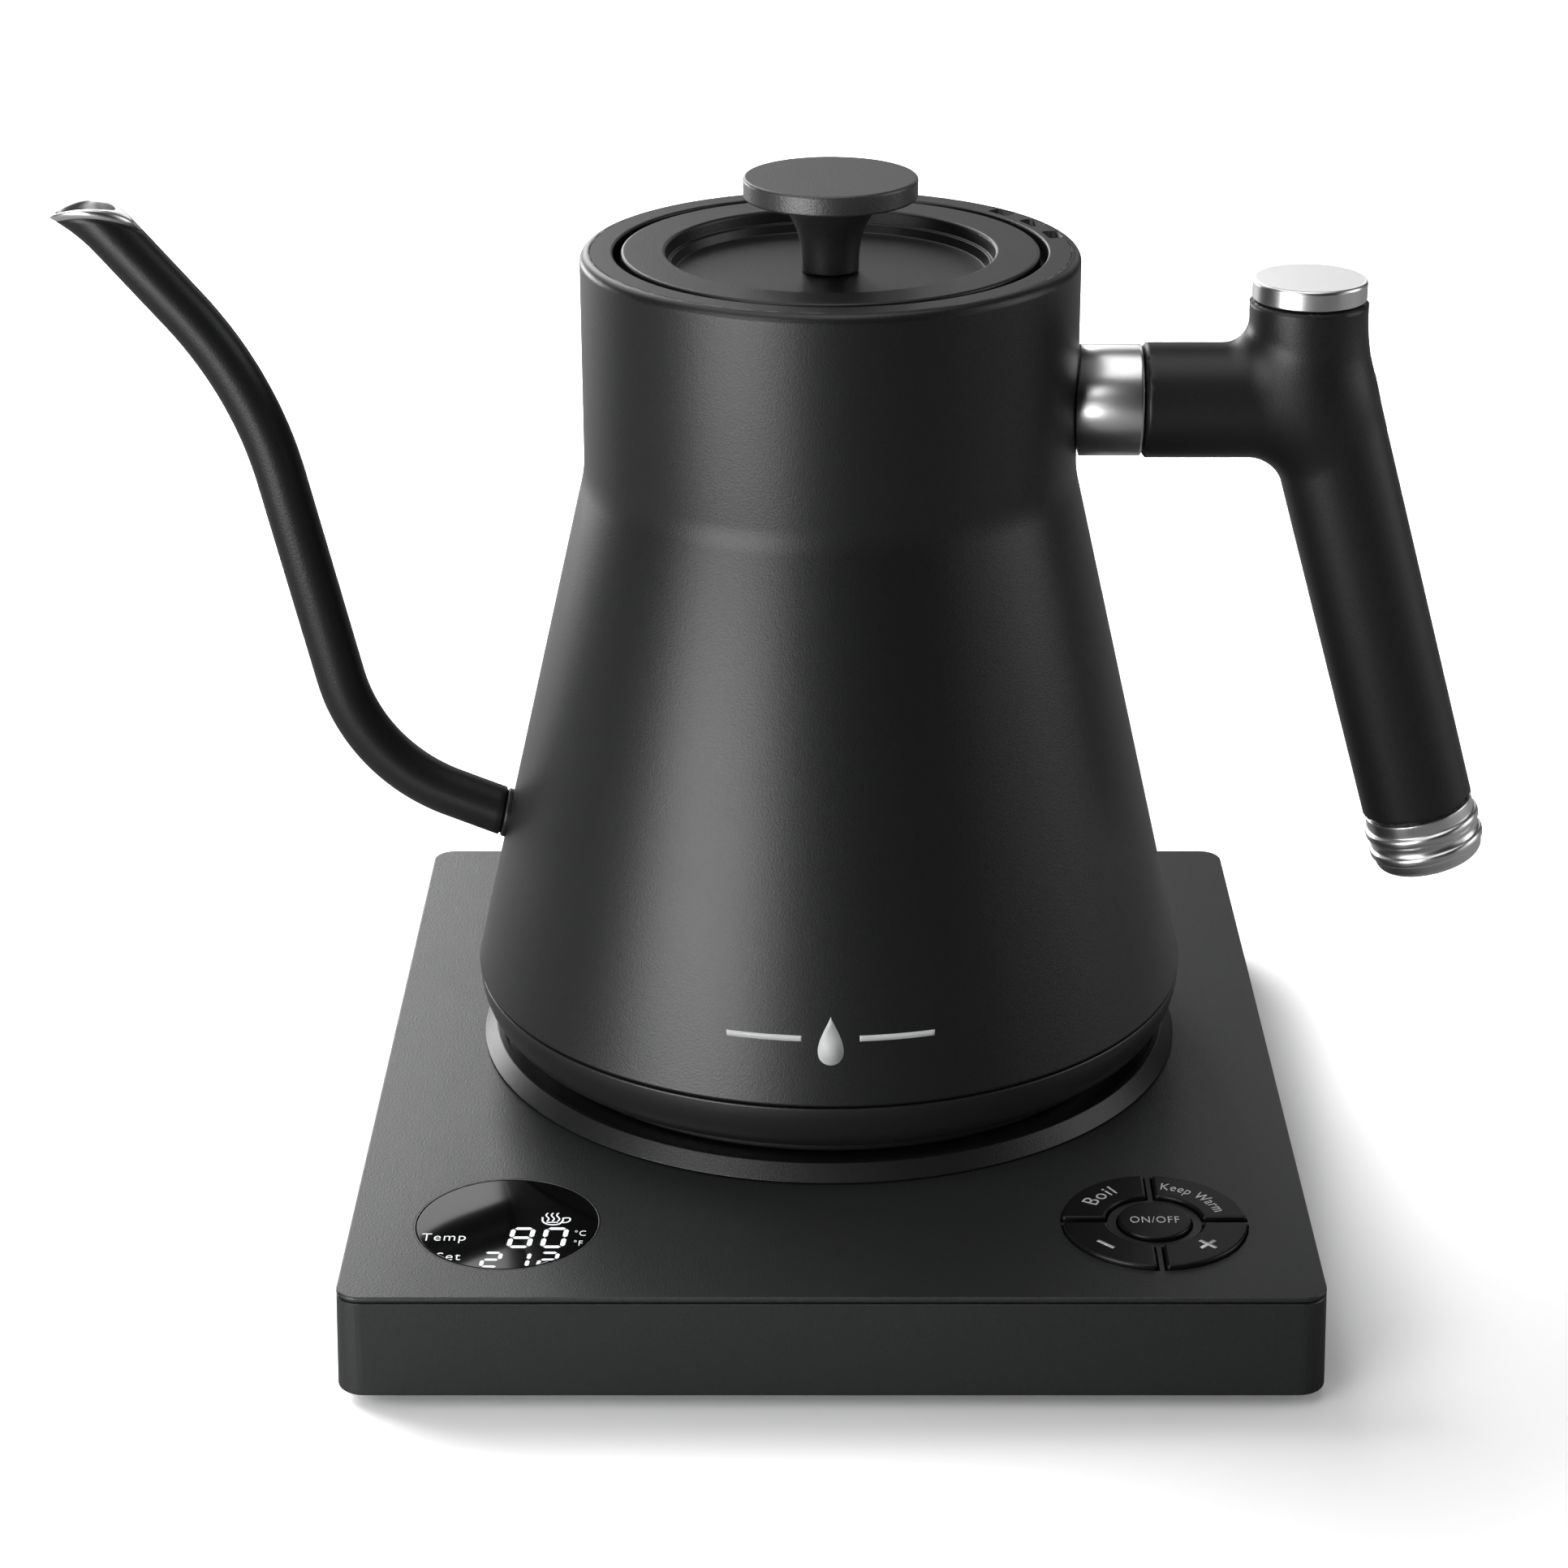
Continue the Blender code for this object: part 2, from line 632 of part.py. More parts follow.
def make_boards(material, parent):
    """The control board under the controls, and the power board at the rear."""
    centre = (0, control_place(1)[1])
    size = (BASE_WIDTH - 2 * CONTROL_BOARD_MARGIN, CONTROL_BOARD_DEPTH, 2 * MM)
    loops = [
        rounded_rectangle(*size, board_top() - BOARD_THICKNESS, centre, steps=1),
        rounded_rectangle(*size, board_top(), centre, steps=1),
    ]
    piece("control_board", loops, material, parent)
    low = COVER_TOP + POWER_BOARD_LIFT
    centre = (0, BASE_DEPTH / 2 - POWER_BOARD_INSET)
    size = (POWER_BOARD_WIDTH, POWER_BOARD_DEPTH, 2 * MM)
    relay = (POWER_BOARD_WIDTH / 3, POWER_BOARD_DEPTH / 2, 1 * MM)
    loops = [
        rounded_rectangle(*size, low, centre, steps=1),
        rounded_rectangle(*size, low + BOARD_THICKNESS, centre, steps=1),
        rounded_rectangle(*relay, low + BOARD_THICKNESS, centre, steps=1),
        rounded_rectangle(*relay, low + BOARD_THICKNESS + RELAY_HEIGHT, centre, steps=1),
    ]
    piece("power_board", loops, material, parent)


# Plinth and coupling, heights above the base's top


def make_plinth(material, parent):
    """The round plinth that the kettle stands in."""
    inner = COUPLER_RADIUS + SEAM
    profile = [
        (inner, SEAM),
        (PLINTH_FOOT_RADIUS, SEAM),
        (PLINTH_TOP_RADIUS, PLINTH_HEIGHT - BASE_EDGE),
        (PLINTH_TOP_RADIUS - BASE_EDGE, PLINTH_HEIGHT),
        (PLINTH_TOP_RADIUS - PLINTH_LIP, PLINTH_HEIGHT),
        (PLINTH_TOP_RADIUS - PLINTH_LIP, PLINTH_FLOOR),
        (inner, PLINTH_FLOOR),
    ]
    piece("plinth_ring", turned(profile, 56), material, parent, ring=True)


def make_coupler(body_material, metal_material, parent):
    """The base's half of the coupling: body, ring contact and centre pin."""
    groove_in = CONTACT_RADIUS - CONTACT_WIDTH / 2 - SEAM
    groove_out = CONTACT_RADIUS + CONTACT_WIDTH / 2 + SEAM
    groove_floor = COUPLER_HEIGHT - 3 * CONTACT_WIDTH
    profile = [
        (COUPLER_WELL, COUPLER_HEIGHT),
        (groove_in, COUPLER_HEIGHT),
        (groove_in, groove_floor),
        (groove_out, groove_floor),
        (groove_out, COUPLER_HEIGHT),
        (COUPLER_RADIUS - BASE_EDGE, COUPLER_HEIGHT),
        (COUPLER_RADIUS, COUPLER_HEIGHT - BASE_EDGE),
        (COUPLER_RADIUS, -COUPLER_DEPTH),
        (PIN_RADIUS + SEAM, -COUPLER_DEPTH),
        (PIN_RADIUS + SEAM, PLINTH_FLOOR - 2 * SEAM),
        (COUPLER_WELL, PLINTH_FLOOR - 2 * SEAM),
    ]
    piece("coupler_body", turned(profile, 40), body_material, parent, ring=True)
    low = groove_floor + SEAM
    high = COUPLER_HEIGHT - CONTACT_WIDTH
    inner = CONTACT_RADIUS - CONTACT_WIDTH / 2
    outer = CONTACT_RADIUS + CONTACT_WIDTH / 2
    ring = [(inner, low), (outer, low), (outer, high), (inner, high)]
    piece("coupler_contact_ring", turned(ring, 32), metal_material, parent, ring=True)
    tip = COUPLER_HEIGHT - 1 * MM
    pin = [(PIN_RADIUS, -COUPLER_DEPTH), (PIN_RADIUS, tip - PIN_RADIUS / 2), (PIN_RADIUS / 2, tip)]
    piece("coupler_pin", turned(pin, 20), metal_material, parent)


def socket_ceiling():
    """The top of the socket's hollow, clear of the coupler."""
    return COUPLER_HEIGHT + 3 * RUNNING


def make_socket(material, parent):
    """The kettle's half of the coupling, which fits over the base's half."""
    low = PLINTH_FLOOR + 2 * SEAM
    ceiling = socket_ceiling()
    roof = ceiling + SOCKET_ROOF
    tube_in = PIN_RADIUS + RUNNING
    profile = [
        (tube_in, ceiling),
        (tube_in, low + COUPLER_HEIGHT / 3),
        (tube_in + SOCKET_TUBE_WALL, low + COUPLER_HEIGHT / 3),
        (tube_in + SOCKET_TUBE_WALL, ceiling),
        (COUPLER_RADIUS + RUNNING, ceiling),
        (COUPLER_RADIUS + RUNNING, low),
        (SOCKET_RADIUS, low),
        (SOCKET_RADIUS, roof),
    ]
    piece("kettle_socket", turned(profile, 40), material, parent)


# Vessel


def body_radius(z):
    """The vessel's outer radius at a height, below its shoulder."""
    if z >= BODY_KINK:
        return BODY_NECK_RADIUS
    share = (BODY_KINK - z) / (BODY_KINK - BODY_BASE)
    return BODY_NECK_RADIUS + (BODY_FOOT_RADIUS - BODY_NECK_RADIUS) * share


def make_body(material, parent):
    """The vessel: cone, neck and shoulder, its mouth turned down, with vents and the spout's hole."""
    shoulder = (BODY_NECK_RADIUS - BODY_SHOULDER, BODY_TOP - BODY_SHOULDER)
    inside = BODY_SHOULDER - BODY_WALL
    outer = [
        (body_radius(BODY_BASE) - BODY_HEM, BODY_BASE),
        (body_radius(BODY_BASE + BODY_HEM), BODY_BASE + BODY_HEM),
        (body_radius(BODY_KINK), BODY_KINK),
    ]
    outer += arc(shoulder, BODY_SHOULDER, 0, 90, 4)
    outer += [
        (MOUTH_RADIUS + BASE_EDGE, BODY_TOP),
        (MOUTH_RADIUS, BODY_TOP - BASE_EDGE),
        (MOUTH_RADIUS, BODY_TOP - MOUTH_LIP),
        (MOUTH_RADIUS + BODY_WALL, BODY_TOP - MOUTH_LIP),
        (MOUTH_RADIUS + BODY_WALL, BODY_TOP - BODY_WALL),
    ]
    inner = arc(shoulder, inside, 90, 0, 3)
    inner += [
        (BODY_NECK_RADIUS - BODY_WALL, BODY_KINK),
        (body_radius(BODY_BASE) - BODY_WALL, BODY_BASE),
    ]
    body = piece("kettle_body", turned(outer + inner, 56), material, parent, ring=True)
    cutters = [vent_slot(index) for index in range(VENT_COUNT)]
    root, direction = spout_frame(0)
    start = root - 4 * SPOUT_RADIUS * direction
    bore = SPOUT_RADIUS - SPOUT_WALL
    hole = turned([(bore, 0), (bore, 8 * SPOUT_RADIUS)], 20)
    cutters.append(placed(hole, along(start, direction)))
    combine(body, tool("body_cutter", cutters, parent), "DIFFERENCE")


def vent_slot(index):
    """A steam slot through the shoulder, rounded at both ends."""
    turn = Matrix.Rotation(VENT_FIRST + VENT_PITCH * index, 4, "Z")
    size = (VENT_WIDTH, VENT_LENGTH, 0.48 * VENT_WIDTH)
    low = BODY_TOP - 2 * BODY_WALL
    loops = [
        rounded_rectangle(*size, low, (VENT_RADIUS, 0), steps=3),
        rounded_rectangle(*size, BODY_TOP + BODY_WALL, (VENT_RADIUS, 0), steps=3),
    ]
    return placed(loops, turn)


def make_floor(steel, aluminium, heater, parent):
    """The vessel's floor, the heat spreader with its screw posts, and the heating element."""
    low = body_radius(FLOOR_HEIGHT) - BODY_WALL - 2 * SEAM
    high = body_radius(FLOOR_HEIGHT + FLOOR_THICKNESS) - BODY_WALL - 2 * SEAM
    profile = [(low, FLOOR_HEIGHT), (high, FLOOR_HEIGHT + FLOOR_THICKNESS)]
    piece("vessel_floor", turned(profile, 48), steel, parent)

    top = FLOOR_HEIGHT - SEAM
    under = top - DIFFUSER_THICKNESS
    disc = [(DIFFUSER_RADIUS, under), (DIFFUSER_RADIUS, top)]
    spreader = piece("heat_spreader", turned(disc, 40), aluminium, parent)
    column = [(BOSS_RADIUS, skirt_inside() + SEAM), (BOSS_RADIUS, top - DIFFUSER_THICKNESS / 2)]
    posts = tool("post_helper", [turned(column, 16, at) for at in post_places()], parent)
    combine(spreader, posts, "UNION")
    reach = skirt_inside() + SCREW_LENGTH
    pilot = [(SCREW_RADIUS + SEAM, 0), (SCREW_RADIUS + SEAM, reach)]
    pilots = tool("pilot_cutter", [turned(pilot, 12, at) for at in post_places()], parent)
    combine(spreader, pilots, "DIFFERENCE")

    height = under - SEAM - HEATER_TUBE
    loops = []
    for step in range(29):
        a = math.pi / 2 + (math.tau - HEATER_SWEEP) / 2 + HEATER_SWEEP * step / 28
        place = (HEATER_RADIUS * math.cos(a), HEATER_RADIUS * math.sin(a), height)
        ring = turned([(HEATER_TUBE, 0)], 10)
        loops += placed(ring, along(place, (-math.sin(a), math.cos(a), 0)))
    piece("heating_element", loops, heater, parent)


def make_sensors(steel, parent):
    """The water temperature sensor and the dry-boil cut-out, both under the spreader."""
    top = FLOOR_HEIGHT - SEAM - DIFFUSER_THICKNESS - SEAM
    probe = [
        (SENSOR_RADIUS / 2, socket_ceiling() + SOCKET_ROOF + SEAM),
        (SENSOR_RADIUS, top - CUTOUT_HEIGHT),
        (SENSOR_RADIUS, top),
    ]
    piece("temperature_sensor", turned(probe, 20), steel, parent)
    disc = [
        (CUTOUT_RADIUS / 2, top - 1.6 * CUTOUT_HEIGHT),
        (CUTOUT_RADIUS / 2, top - CUTOUT_HEIGHT),
        (CUTOUT_RADIUS, top - CUTOUT_HEIGHT),
        (CUTOUT_RADIUS, top),
    ]
    piece("dry_boil_cutout", turned(disc, 24, (0, CUTOUT_OFFSET)), steel, parent)


def skirt_inside():
    """The height of the bottom cover's inner floor."""
    return SKIRT_FLAT + SKIRT_WALL


def post_places():
    """Three posts, evenly spaced, the first one at the rear."""
    angles = [math.pi / 2 + math.tau * step / 3 for step in range(3)]
    return [(POST_RING * math.cos(a), POST_RING * math.sin(a)) for a in angles]


def make_bottom_cover(material, screw_material, parent):
    """The plastic cover under the vessel, curving in to a rest ring, and its three screws."""
    rim = BODY_BASE - SEAM
    top = body_radius(BODY_BASE) - BODY_HEM
    hole = SOCKET_RADIUS + RUNNING
    curve = []
    for step in range(6):
        a = math.pi / 2 * step / 5
        radius = SKIRT_RADIUS + (top - SKIRT_RADIUS) * math.cos(a)
        curve.append((radius, rim - (rim - SKIRT_BELLY) * math.sin(a)))
    ring_out = REST_RING_RADIUS + REST_RING_WIDTH / 2
    ring_in = REST_RING_RADIUS - REST_RING_WIDTH / 2
    rest = PLINTH_FLOOR + SEAM
    profile = curve + [
        (ring_out + SKIRT_WALL, SKIRT_FLAT),
        (ring_out, rest),
        (ring_in, rest),
        (ring_in - SKIRT_WALL, SKIRT_FLAT),
        (hole, SKIRT_FLAT),
        (hole, skirt_inside()),
        (SKIRT_RADIUS - SKIRT_WALL, skirt_inside()),
        (top - SKIRT_WALL, skirt_inside() + SKIRT_WALL),
        (top - SKIRT_WALL, rim),
    ]
    cover = piece("kettle_bottom_cover", turned(profile, 48), material, parent, ring=True)
    head = SKIRT_FLAT + SCREW_HEAD_HEIGHT
    holes = []
    for place in post_places():
        holes.append(turned([(SCREW_HEAD_RADIUS + SEAM, 0), (SCREW_HEAD_RADIUS + SEAM, head)], 16, place))
        holes.append(turned([(SCREW_RADIUS + SEAM, 0), (SCREW_RADIUS + SEAM, rim)], 12, place))
    combine(cover, tool("skirt_cutter", holes, parent), "DIFFERENCE")
    for number, place in enumerate(post_places(), start=1):
        profile = screw_profile(SKIRT_FLAT, SCREW_LENGTH)
        piece(f"kettle_screw_{number}", turned(profile, 16, place), screw_material, parent)


# Spout


def leg_direction(index):
    """The direction of a leg of the spout, rising towards -X."""
    a = SPOUT_ANGLES[index]
    return Vector((-math.cos(a), 0, math.sin(a)))


def spout_corners():
    """The root and the two corners that the bends round off."""
    root = Vector((-body_radius(SPOUT_ROOT), 0, SPOUT_ROOT))
    first = root + SPOUT_LEGS[0] * leg_direction(0)
    return root, first, first + SPOUT_LEGS[1] * leg_direction(1)


def bend_trim(index):
    """How much of each leg a bend takes."""
    turn = abs(SPOUT_ANGLES[index + 1] - SPOUT_ANGLES[index])
    return SPOUT_BENDS[index] * math.tan(turn / 2), turn


def spout_stations():
    """Path lengths at which the straight legs and the bends begin."""
    trim_a, turn_a = bend_trim(0)
    trim_b, turn_b = bend_trim(1)
    bend_a = SPOUT_LEGS[0] - trim_a
    leg_b = bend_a + SPOUT_BENDS[0] * turn_a
    bend_b = leg_b + SPOUT_LEGS[1] - trim_a - trim_b
    leg_c = bend_b + SPOUT_BENDS[1] * turn_b
    return bend_a, leg_b, bend_b, leg_c


def spout_frame(length):
    """The point and direction at a length along the spout's centre line."""
    root, first, second = spout_corners()
    bend_a, leg_b, bend_b, leg_c = spout_stations()
    if length <= bend_a:
        return root + length * leg_direction(0), leg_direction(0)
    if length >= leg_c:
        start = second + bend_trim(1)[0] * leg_direction(2)
        return start + (length - leg_c) * leg_direction(2), leg_direction(2)
    if leg_b <= length <= bend_b:
        start = first + bend_trim(0)[0] * leg_direction(1)
        return start + (length - leg_b) * leg_direction(1), leg_direction(1)
    index, begin = (0, bend_a) if length < leg_b else (1, bend_b)
    corner = (first, second)[index]
    sign = 1 if SPOUT_ANGLES[index + 1] > SPOUT_ANGLES[index] else -1
    start = corner - bend_trim(index)[0] * leg_direction(index)
    a = SPOUT_ANGLES[index]
    normal = Vector((math.sin(a), 0, math.cos(a))) * sign
    turn = (length - begin) / SPOUT_BENDS[index]
    offset = math.sin(turn) * leg_direction(index) + (1 - math.cos(turn)) * normal
    now = a + sign * turn
    return start + SPOUT_BENDS[index] * offset, Vector((-math.cos(now), 0, math.sin(now)))


def spout_point(length, turn, radius):
    """A point on the spout's surface; turn 0 is its outer, lower side. It flares near the tip."""
    centre, direction = spout_frame(length)
    outward = Vector((-direction.z, 0, direction.x))
    near = max(0.0, (length - (tip_length() - SPOUT_FLARE_LENGTH)) / SPOUT_FLARE_LENGTH)
    swell = SPOUT_FLARE * near**2 * max(0.0, math.cos(turn))
    reach = radius + swell
    return centre + reach * math.cos(turn) * outward + radius * math.sin(turn) * Vector((0, 1, 0))


def tip_length():
    """The path length at which the centre line comes to the lip's height."""
    start = spout_frame(spout_stations()[3])[0]
    return spout_stations()[3] + (SPOUT_TOP - start.z) / leg_direction(2).z


def lip_height(x):
    """The lip's height at an x: a slight slope with an arch over it."""
    middle = spout_frame(tip_length())[0].x
    across = (middle - x) / SPOUT_LIP_REACH
    return SPOUT_TOP + math.tan(SPOUT_LIP_SLOPE) * (middle - x) + SPOUT_LIP_ARCH * (1 - across**2)


def spout_mouth(radius, drop, sides):
    """The spout's edge at a radius, dropped below the lip: each side runs on until it meets it."""
    loop = []
    for step in range(sides):
        turn = math.tau * step / sides
        low = tip_length() - 3 * SPOUT_RADIUS
        high = tip_length() + 3 * SPOUT_RADIUS
        for _ in range(40):
            middle = (low + high) / 2
            point = spout_point(middle, turn, radius)
            if point.z < lip_height(point.x) - drop:
                low = middle
            else:
                high = middle
        loop.append(spout_point((low + high) / 2, turn, radius))
    return loop


def spout_root_edge(radius, clear, sides):
    """The spout's edge at the vessel: each side runs back until it is that far off the vessel."""
    loop = []
    for step in range(sides):
        turn = math.tau * step / sides
        low, high = -3 * SPOUT_RADIUS, 3 * SPOUT_RADIUS
        for _ in range(40):
            middle = (low + high) / 2
            point = spout_point(middle, turn, radius)
            if math.hypot(point.x, point.y) < body_radius(point.z):
                low = middle
            else:
                high = middle
        loop.append(spout_point(high + clear, turn, radius))
    return loop


def spout_ring(length, radius, sides):
    """A ring of the spout square to its centre line."""
    return [spout_point(length, math.tau * step / sides, radius) for step in range(sides)]


def spout_lengths():
    """Path lengths for the rings: close together in the bends, the last one below the mouth."""
    bend_a, leg_b, bend_b, leg_c = spout_stations()
    lengths = [bend_a + (leg_b - bend_a) * step / 6 for step in range(7)]
    lengths += [bend_b + (leg_c - bend_b) * step / 4 for step in range(5)]
    return lengths + [tip_length() - SPOUT_LAST_RING]


def make_spout(paint, steel, parent):
    """The tube, the collar at its root and the steel lip at its tip."""
    sides = 16
    bore = SPOUT_RADIUS - SPOUT_WALL
    collar = [
        spout_root_edge(SPOUT_RADIUS, SEAM + SPOUT_COLLAR, sides),
        spout_root_edge(SPOUT_RADIUS, SEAM, sides),
        spout_root_edge(bore, SEAM, sides),
        spout_root_edge(bore, SEAM + SPOUT_COLLAR, sides),
    ]
    piece("spout_collar", collar, paint, parent, ring=True)
    start = 2 * SEAM + SPOUT_COLLAR
    drop = SPOUT_STEEL + SEAM
    outside = [spout_ring(length, SPOUT_RADIUS, sides) for length in spout_lengths()]
    inside = [spout_ring(length, bore, sides) for length in reversed(spout_lengths())]
    tube = [spout_root_edge(SPOUT_RADIUS, start, sides)] + outside
    tube += [spout_mouth(SPOUT_RADIUS, down, sides) for down in (drop + SPOUT_LIP_BAND, drop)]
    tube += [spout_mouth(bore, down, sides) for down in (drop, drop + SPOUT_LIP_BAND)]
    tube += inside + [spout_root_edge(bore, start, sides)]
    piece("spout_tube", tube, paint, parent, ring=True)
    sleeve_out = bore - SEAM
    sleeve_in = sleeve_out - SPOUT_SLEEVE_WALL
    lip = [
        spout_mouth(SPOUT_RADIUS, SPOUT_STEEL, sides),
        spout_mouth(SPOUT_RADIUS, 0, sides),
        spout_mouth(sleeve_in, 0, sides),
        spout_mouth(sleeve_in, drop + SPOUT_LIP_BAND, sides),
        spout_ring(tip_length() - SPOUT_SLEEVE, sleeve_in, sides),
        spout_ring(tip_length() - SPOUT_SLEEVE, sleeve_out, sides),
        spout_mouth(sleeve_out, drop + SPOUT_LIP_BAND, sides),
        spout_mouth(sleeve_out, SPOUT_STEEL, sides),
    ]
    piece("spout_lip", lip, steel, parent, ring=True)


# Handle


def grip_axis(z):
    """The x of the grip's axis at a height."""
    return BOSS_OFFSET + (HANDLE_BEND - z) * math.tan(GRIP_TILT)


def grip_place(distance):
    """A matrix on the grip's axis, that far below the bend, its Z pointing down the grip."""
    down = Vector((math.sin(GRIP_TILT), 0, -math.cos(GRIP_TILT)))
    return along(Vector((BOSS_OFFSET, 0, HANDLE_BEND)) + distance * down, down)


def grip_surface(y, z):
    """The x of the grip's outer side at a y and z."""
    return grip_axis(z) + math.sqrt(GRIP_RADIUS**2 - y**2) / math.cos(GRIP_TILT)


def make_grip(material, parent):
    """The moulding: boss and grip in one bent bar, with the arm joined on and bored for its fixings."""
    sides = 32
    bend = circle(GRIP_RADIUS, 0, sides)
    widen = 1 / math.cos(GRIP_TILT / 2)
    tilt = Matrix.Rotation(-GRIP_TILT / 2, 4, "Y")
    mitre = [
        Vector((BOSS_OFFSET, 0, HANDLE_BEND)) + tilt @ Vector((p.x * widen, p.y, 0)) for p in bend
    ]
    end_points = circle(GRIP_END_RADIUS, 0, sides)
    lower = Matrix.Rotation(-GRIP_TILT, 4, "Y")
    foot = grip_place(GRIP_LENGTH).translation
    loops = [circle(HANDLE_BOSS_RADIUS, BOSS_TOP, sides, (BOSS_OFFSET, 0))]
    loops += [mitre, [foot + lower @ p for p in end_points]]
    grip = piece("handle_grip", loops, material, parent)
    level = along((0, 0, ARM_HEIGHT), (1, 0, 0))
    bar = [(ARM_RADIUS, NECK_END + SEAM), (ARM_RADIUS, BOSS_OFFSET)]
    combine(grip, tool("arm_helper", [placed(turned(bar, sides), level)], parent), "UNION")
    shoulder = NECK_END + NUT_SEAT
    bore = [
        (STUD_RADIUS + SEAM, NECK_END - NUT_SEAT),
        (STUD_RADIUS + SEAM, shoulder),
        (PLUG_RADIUS + SEAM, shoulder),
        (PLUG_RADIUS + SEAM, BOSS_OFFSET + 3 * GRIP_RADIUS),
    ]
    pocket = SPIGOT_RADIUS + SEAM
    depth = SPIGOT_DEPTH + SEAM
    top_pocket = [(pocket, BOSS_TOP - depth), (pocket, BOSS_TOP + depth)]
    end_pocket = [(pocket, -depth), (pocket, depth)]
    cutters = [
        placed(turned(bore, 24), level),
        turned(top_pocket, 24, (BOSS_OFFSET, 0)),
        placed(turned(end_pocket, 24), grip_place(GRIP_LENGTH)),
    ]
    combine(grip, tool("grip_cutter", cutters, parent), "DIFFERENCE")


def make_neck(steel, parent):
    """The steel collar between the vessel and the arm, cut to the vessel's curve."""
    sides = 32

    def saddle(radius):
        loop = []
        for point in circle(radius, 0, sides):
            x = math.sqrt((BODY_NECK_RADIUS + SEAM) ** 2 - point.x**2)
            loop.append(Vector((x, point.x, ARM_HEIGHT + point.y)))
        return loop

    def end(radius, x):
        return [Vector((x, p.x, ARM_HEIGHT + p.y)) for p in circle(radius, 0, sides)]

    bore = STUD_RADIUS + SEAM
    edge = CAP_EDGE / 2
    loops = [
        saddle(NECK_RADIUS),
        end(NECK_RADIUS, NECK_END - edge),
        end(NECK_RADIUS - edge, NECK_END),
        end(bore, NECK_END),
        saddle(bore),
        saddle((bore + NECK_RADIUS) / 2),
    ]
    piece("handle_neck", loops, steel, parent, ring=True)


def make_handle_fixings(steel, plastic, parent):
    """The stud on the vessel, the sleeve nut on it and the plug that covers the nut."""
    level = along((0, 0, ARM_HEIGHT), (1, 0, 0))
    shoulder = NECK_END + NUT_SEAT + SEAM
    stud_end = shoulder + NUT_LENGTH - 1 * MM
    start = BODY_NECK_RADIUS + SEAM
    piece(
        "handle_stud",
        placed(turned([(STUD_RADIUS, start), (STUD_RADIUS, stud_end)], 16), level),
        steel,
        parent,
    )
    bore = STUD_RADIUS + SEAM
    nut_end = shoulder + NUT_LENGTH
    nut = [(bore, shoulder), (NUT_RADIUS, shoulder), (NUT_RADIUS, nut_end), (bore, nut_end)]
    piece("handle_nut", placed(turned(nut, 24), level), steel, parent, ring=True)

    def cap(radius, inward):
        loop = []
        for p in circle(radius, 0, 24):
            y, z = p.x, ARM_HEIGHT + p.y
            loop.append(Vector((grip_surface(y, z) - inward, y, z)))
        return loop

    loops = [cap(PLUG_RADIUS, PLUG_THICKNESS), cap(PLUG_RADIUS, SEAM)]
    loops += [cap(PLUG_RADIUS * share, SEAM) for share in (0.75, 0.45, 0.15)]
    piece("handle_plug", loops, plastic, parent)


def make_handle_caps(steel, parent):
    """The flat steel cap on the boss and the ribbed one on the grip's end."""
    low = BOSS_TOP + SEAM
    high = low + CAP_HEIGHT
    cap = [
        (SPIGOT_RADIUS, BOSS_TOP - SPIGOT_DEPTH),
        (SPIGOT_RADIUS, low),
        (CAP_RADIUS, low),
        (CAP_RADIUS, high - CAP_EDGE),
        (CAP_RADIUS - CAP_EDGE, high),
    ]
    piece("handle_top_cap", turned(cap, 32, (BOSS_OFFSET, 0)), steel, parent)
    ribs = [(SPIGOT_RADIUS, -SPIGOT_DEPTH), (SPIGOT_RADIUS, SEAM), (RIB_ROOT_RADIUS, SEAM)]
    for rib in range(2):
        start = SEAM + RIB_BAND + rib * RIB_PITCH
        for step in range(5):
            swell = RIB_HEIGHT * math.sin(math.pi * step / 4)
            ribs.append((RIB_ROOT_RADIUS + swell, start + 0.9 * RIB_PITCH * step / 4))
    end = SEAM + RIB_BAND + 2 * RIB_PITCH + RIB_END_LENGTH
    ribs.append((RIB_ROOT_RADIUS, end - 2 * CAP_EDGE))
    ribs.append((RIB_ROOT_RADIUS - 2 * CAP_EDGE, end))
    piece("handle_end_cap", placed(turned(ribs, 32), grip_place(GRIP_LENGTH)), steel, parent)


# Lid


def make_seat(material, parent):
    """The ring under the mouth that the lid's skirt sits in."""
    bore = LID_SKIRT_RADIUS + 10 * RUNNING
    top = BODY_TOP - MOUTH_LIP - SEAM
    ledge = SKIRT_BOTTOM - SEAM
    flange = BODY_NECK_RADIUS - BODY_WALL - 2 * SEAM
    profile = [
        (LID_SKIRT_RADIUS - SEAT_LEDGE, ledge - SEAT_LEDGE),
        (bore + SEAT_WALL, ledge - SEAT_LEDGE),
        (bore + SEAT_WALL, top - SEAT_WALL),
        (flange, top - SEAT_WALL),
        (flange, top),
        (bore, top),
        (bore, ledge),
        (LID_SKIRT_RADIUS - SEAT_LEDGE, ledge),
    ]
    piece("lid_seat", turned(profile, 44), material, parent, ring=True)


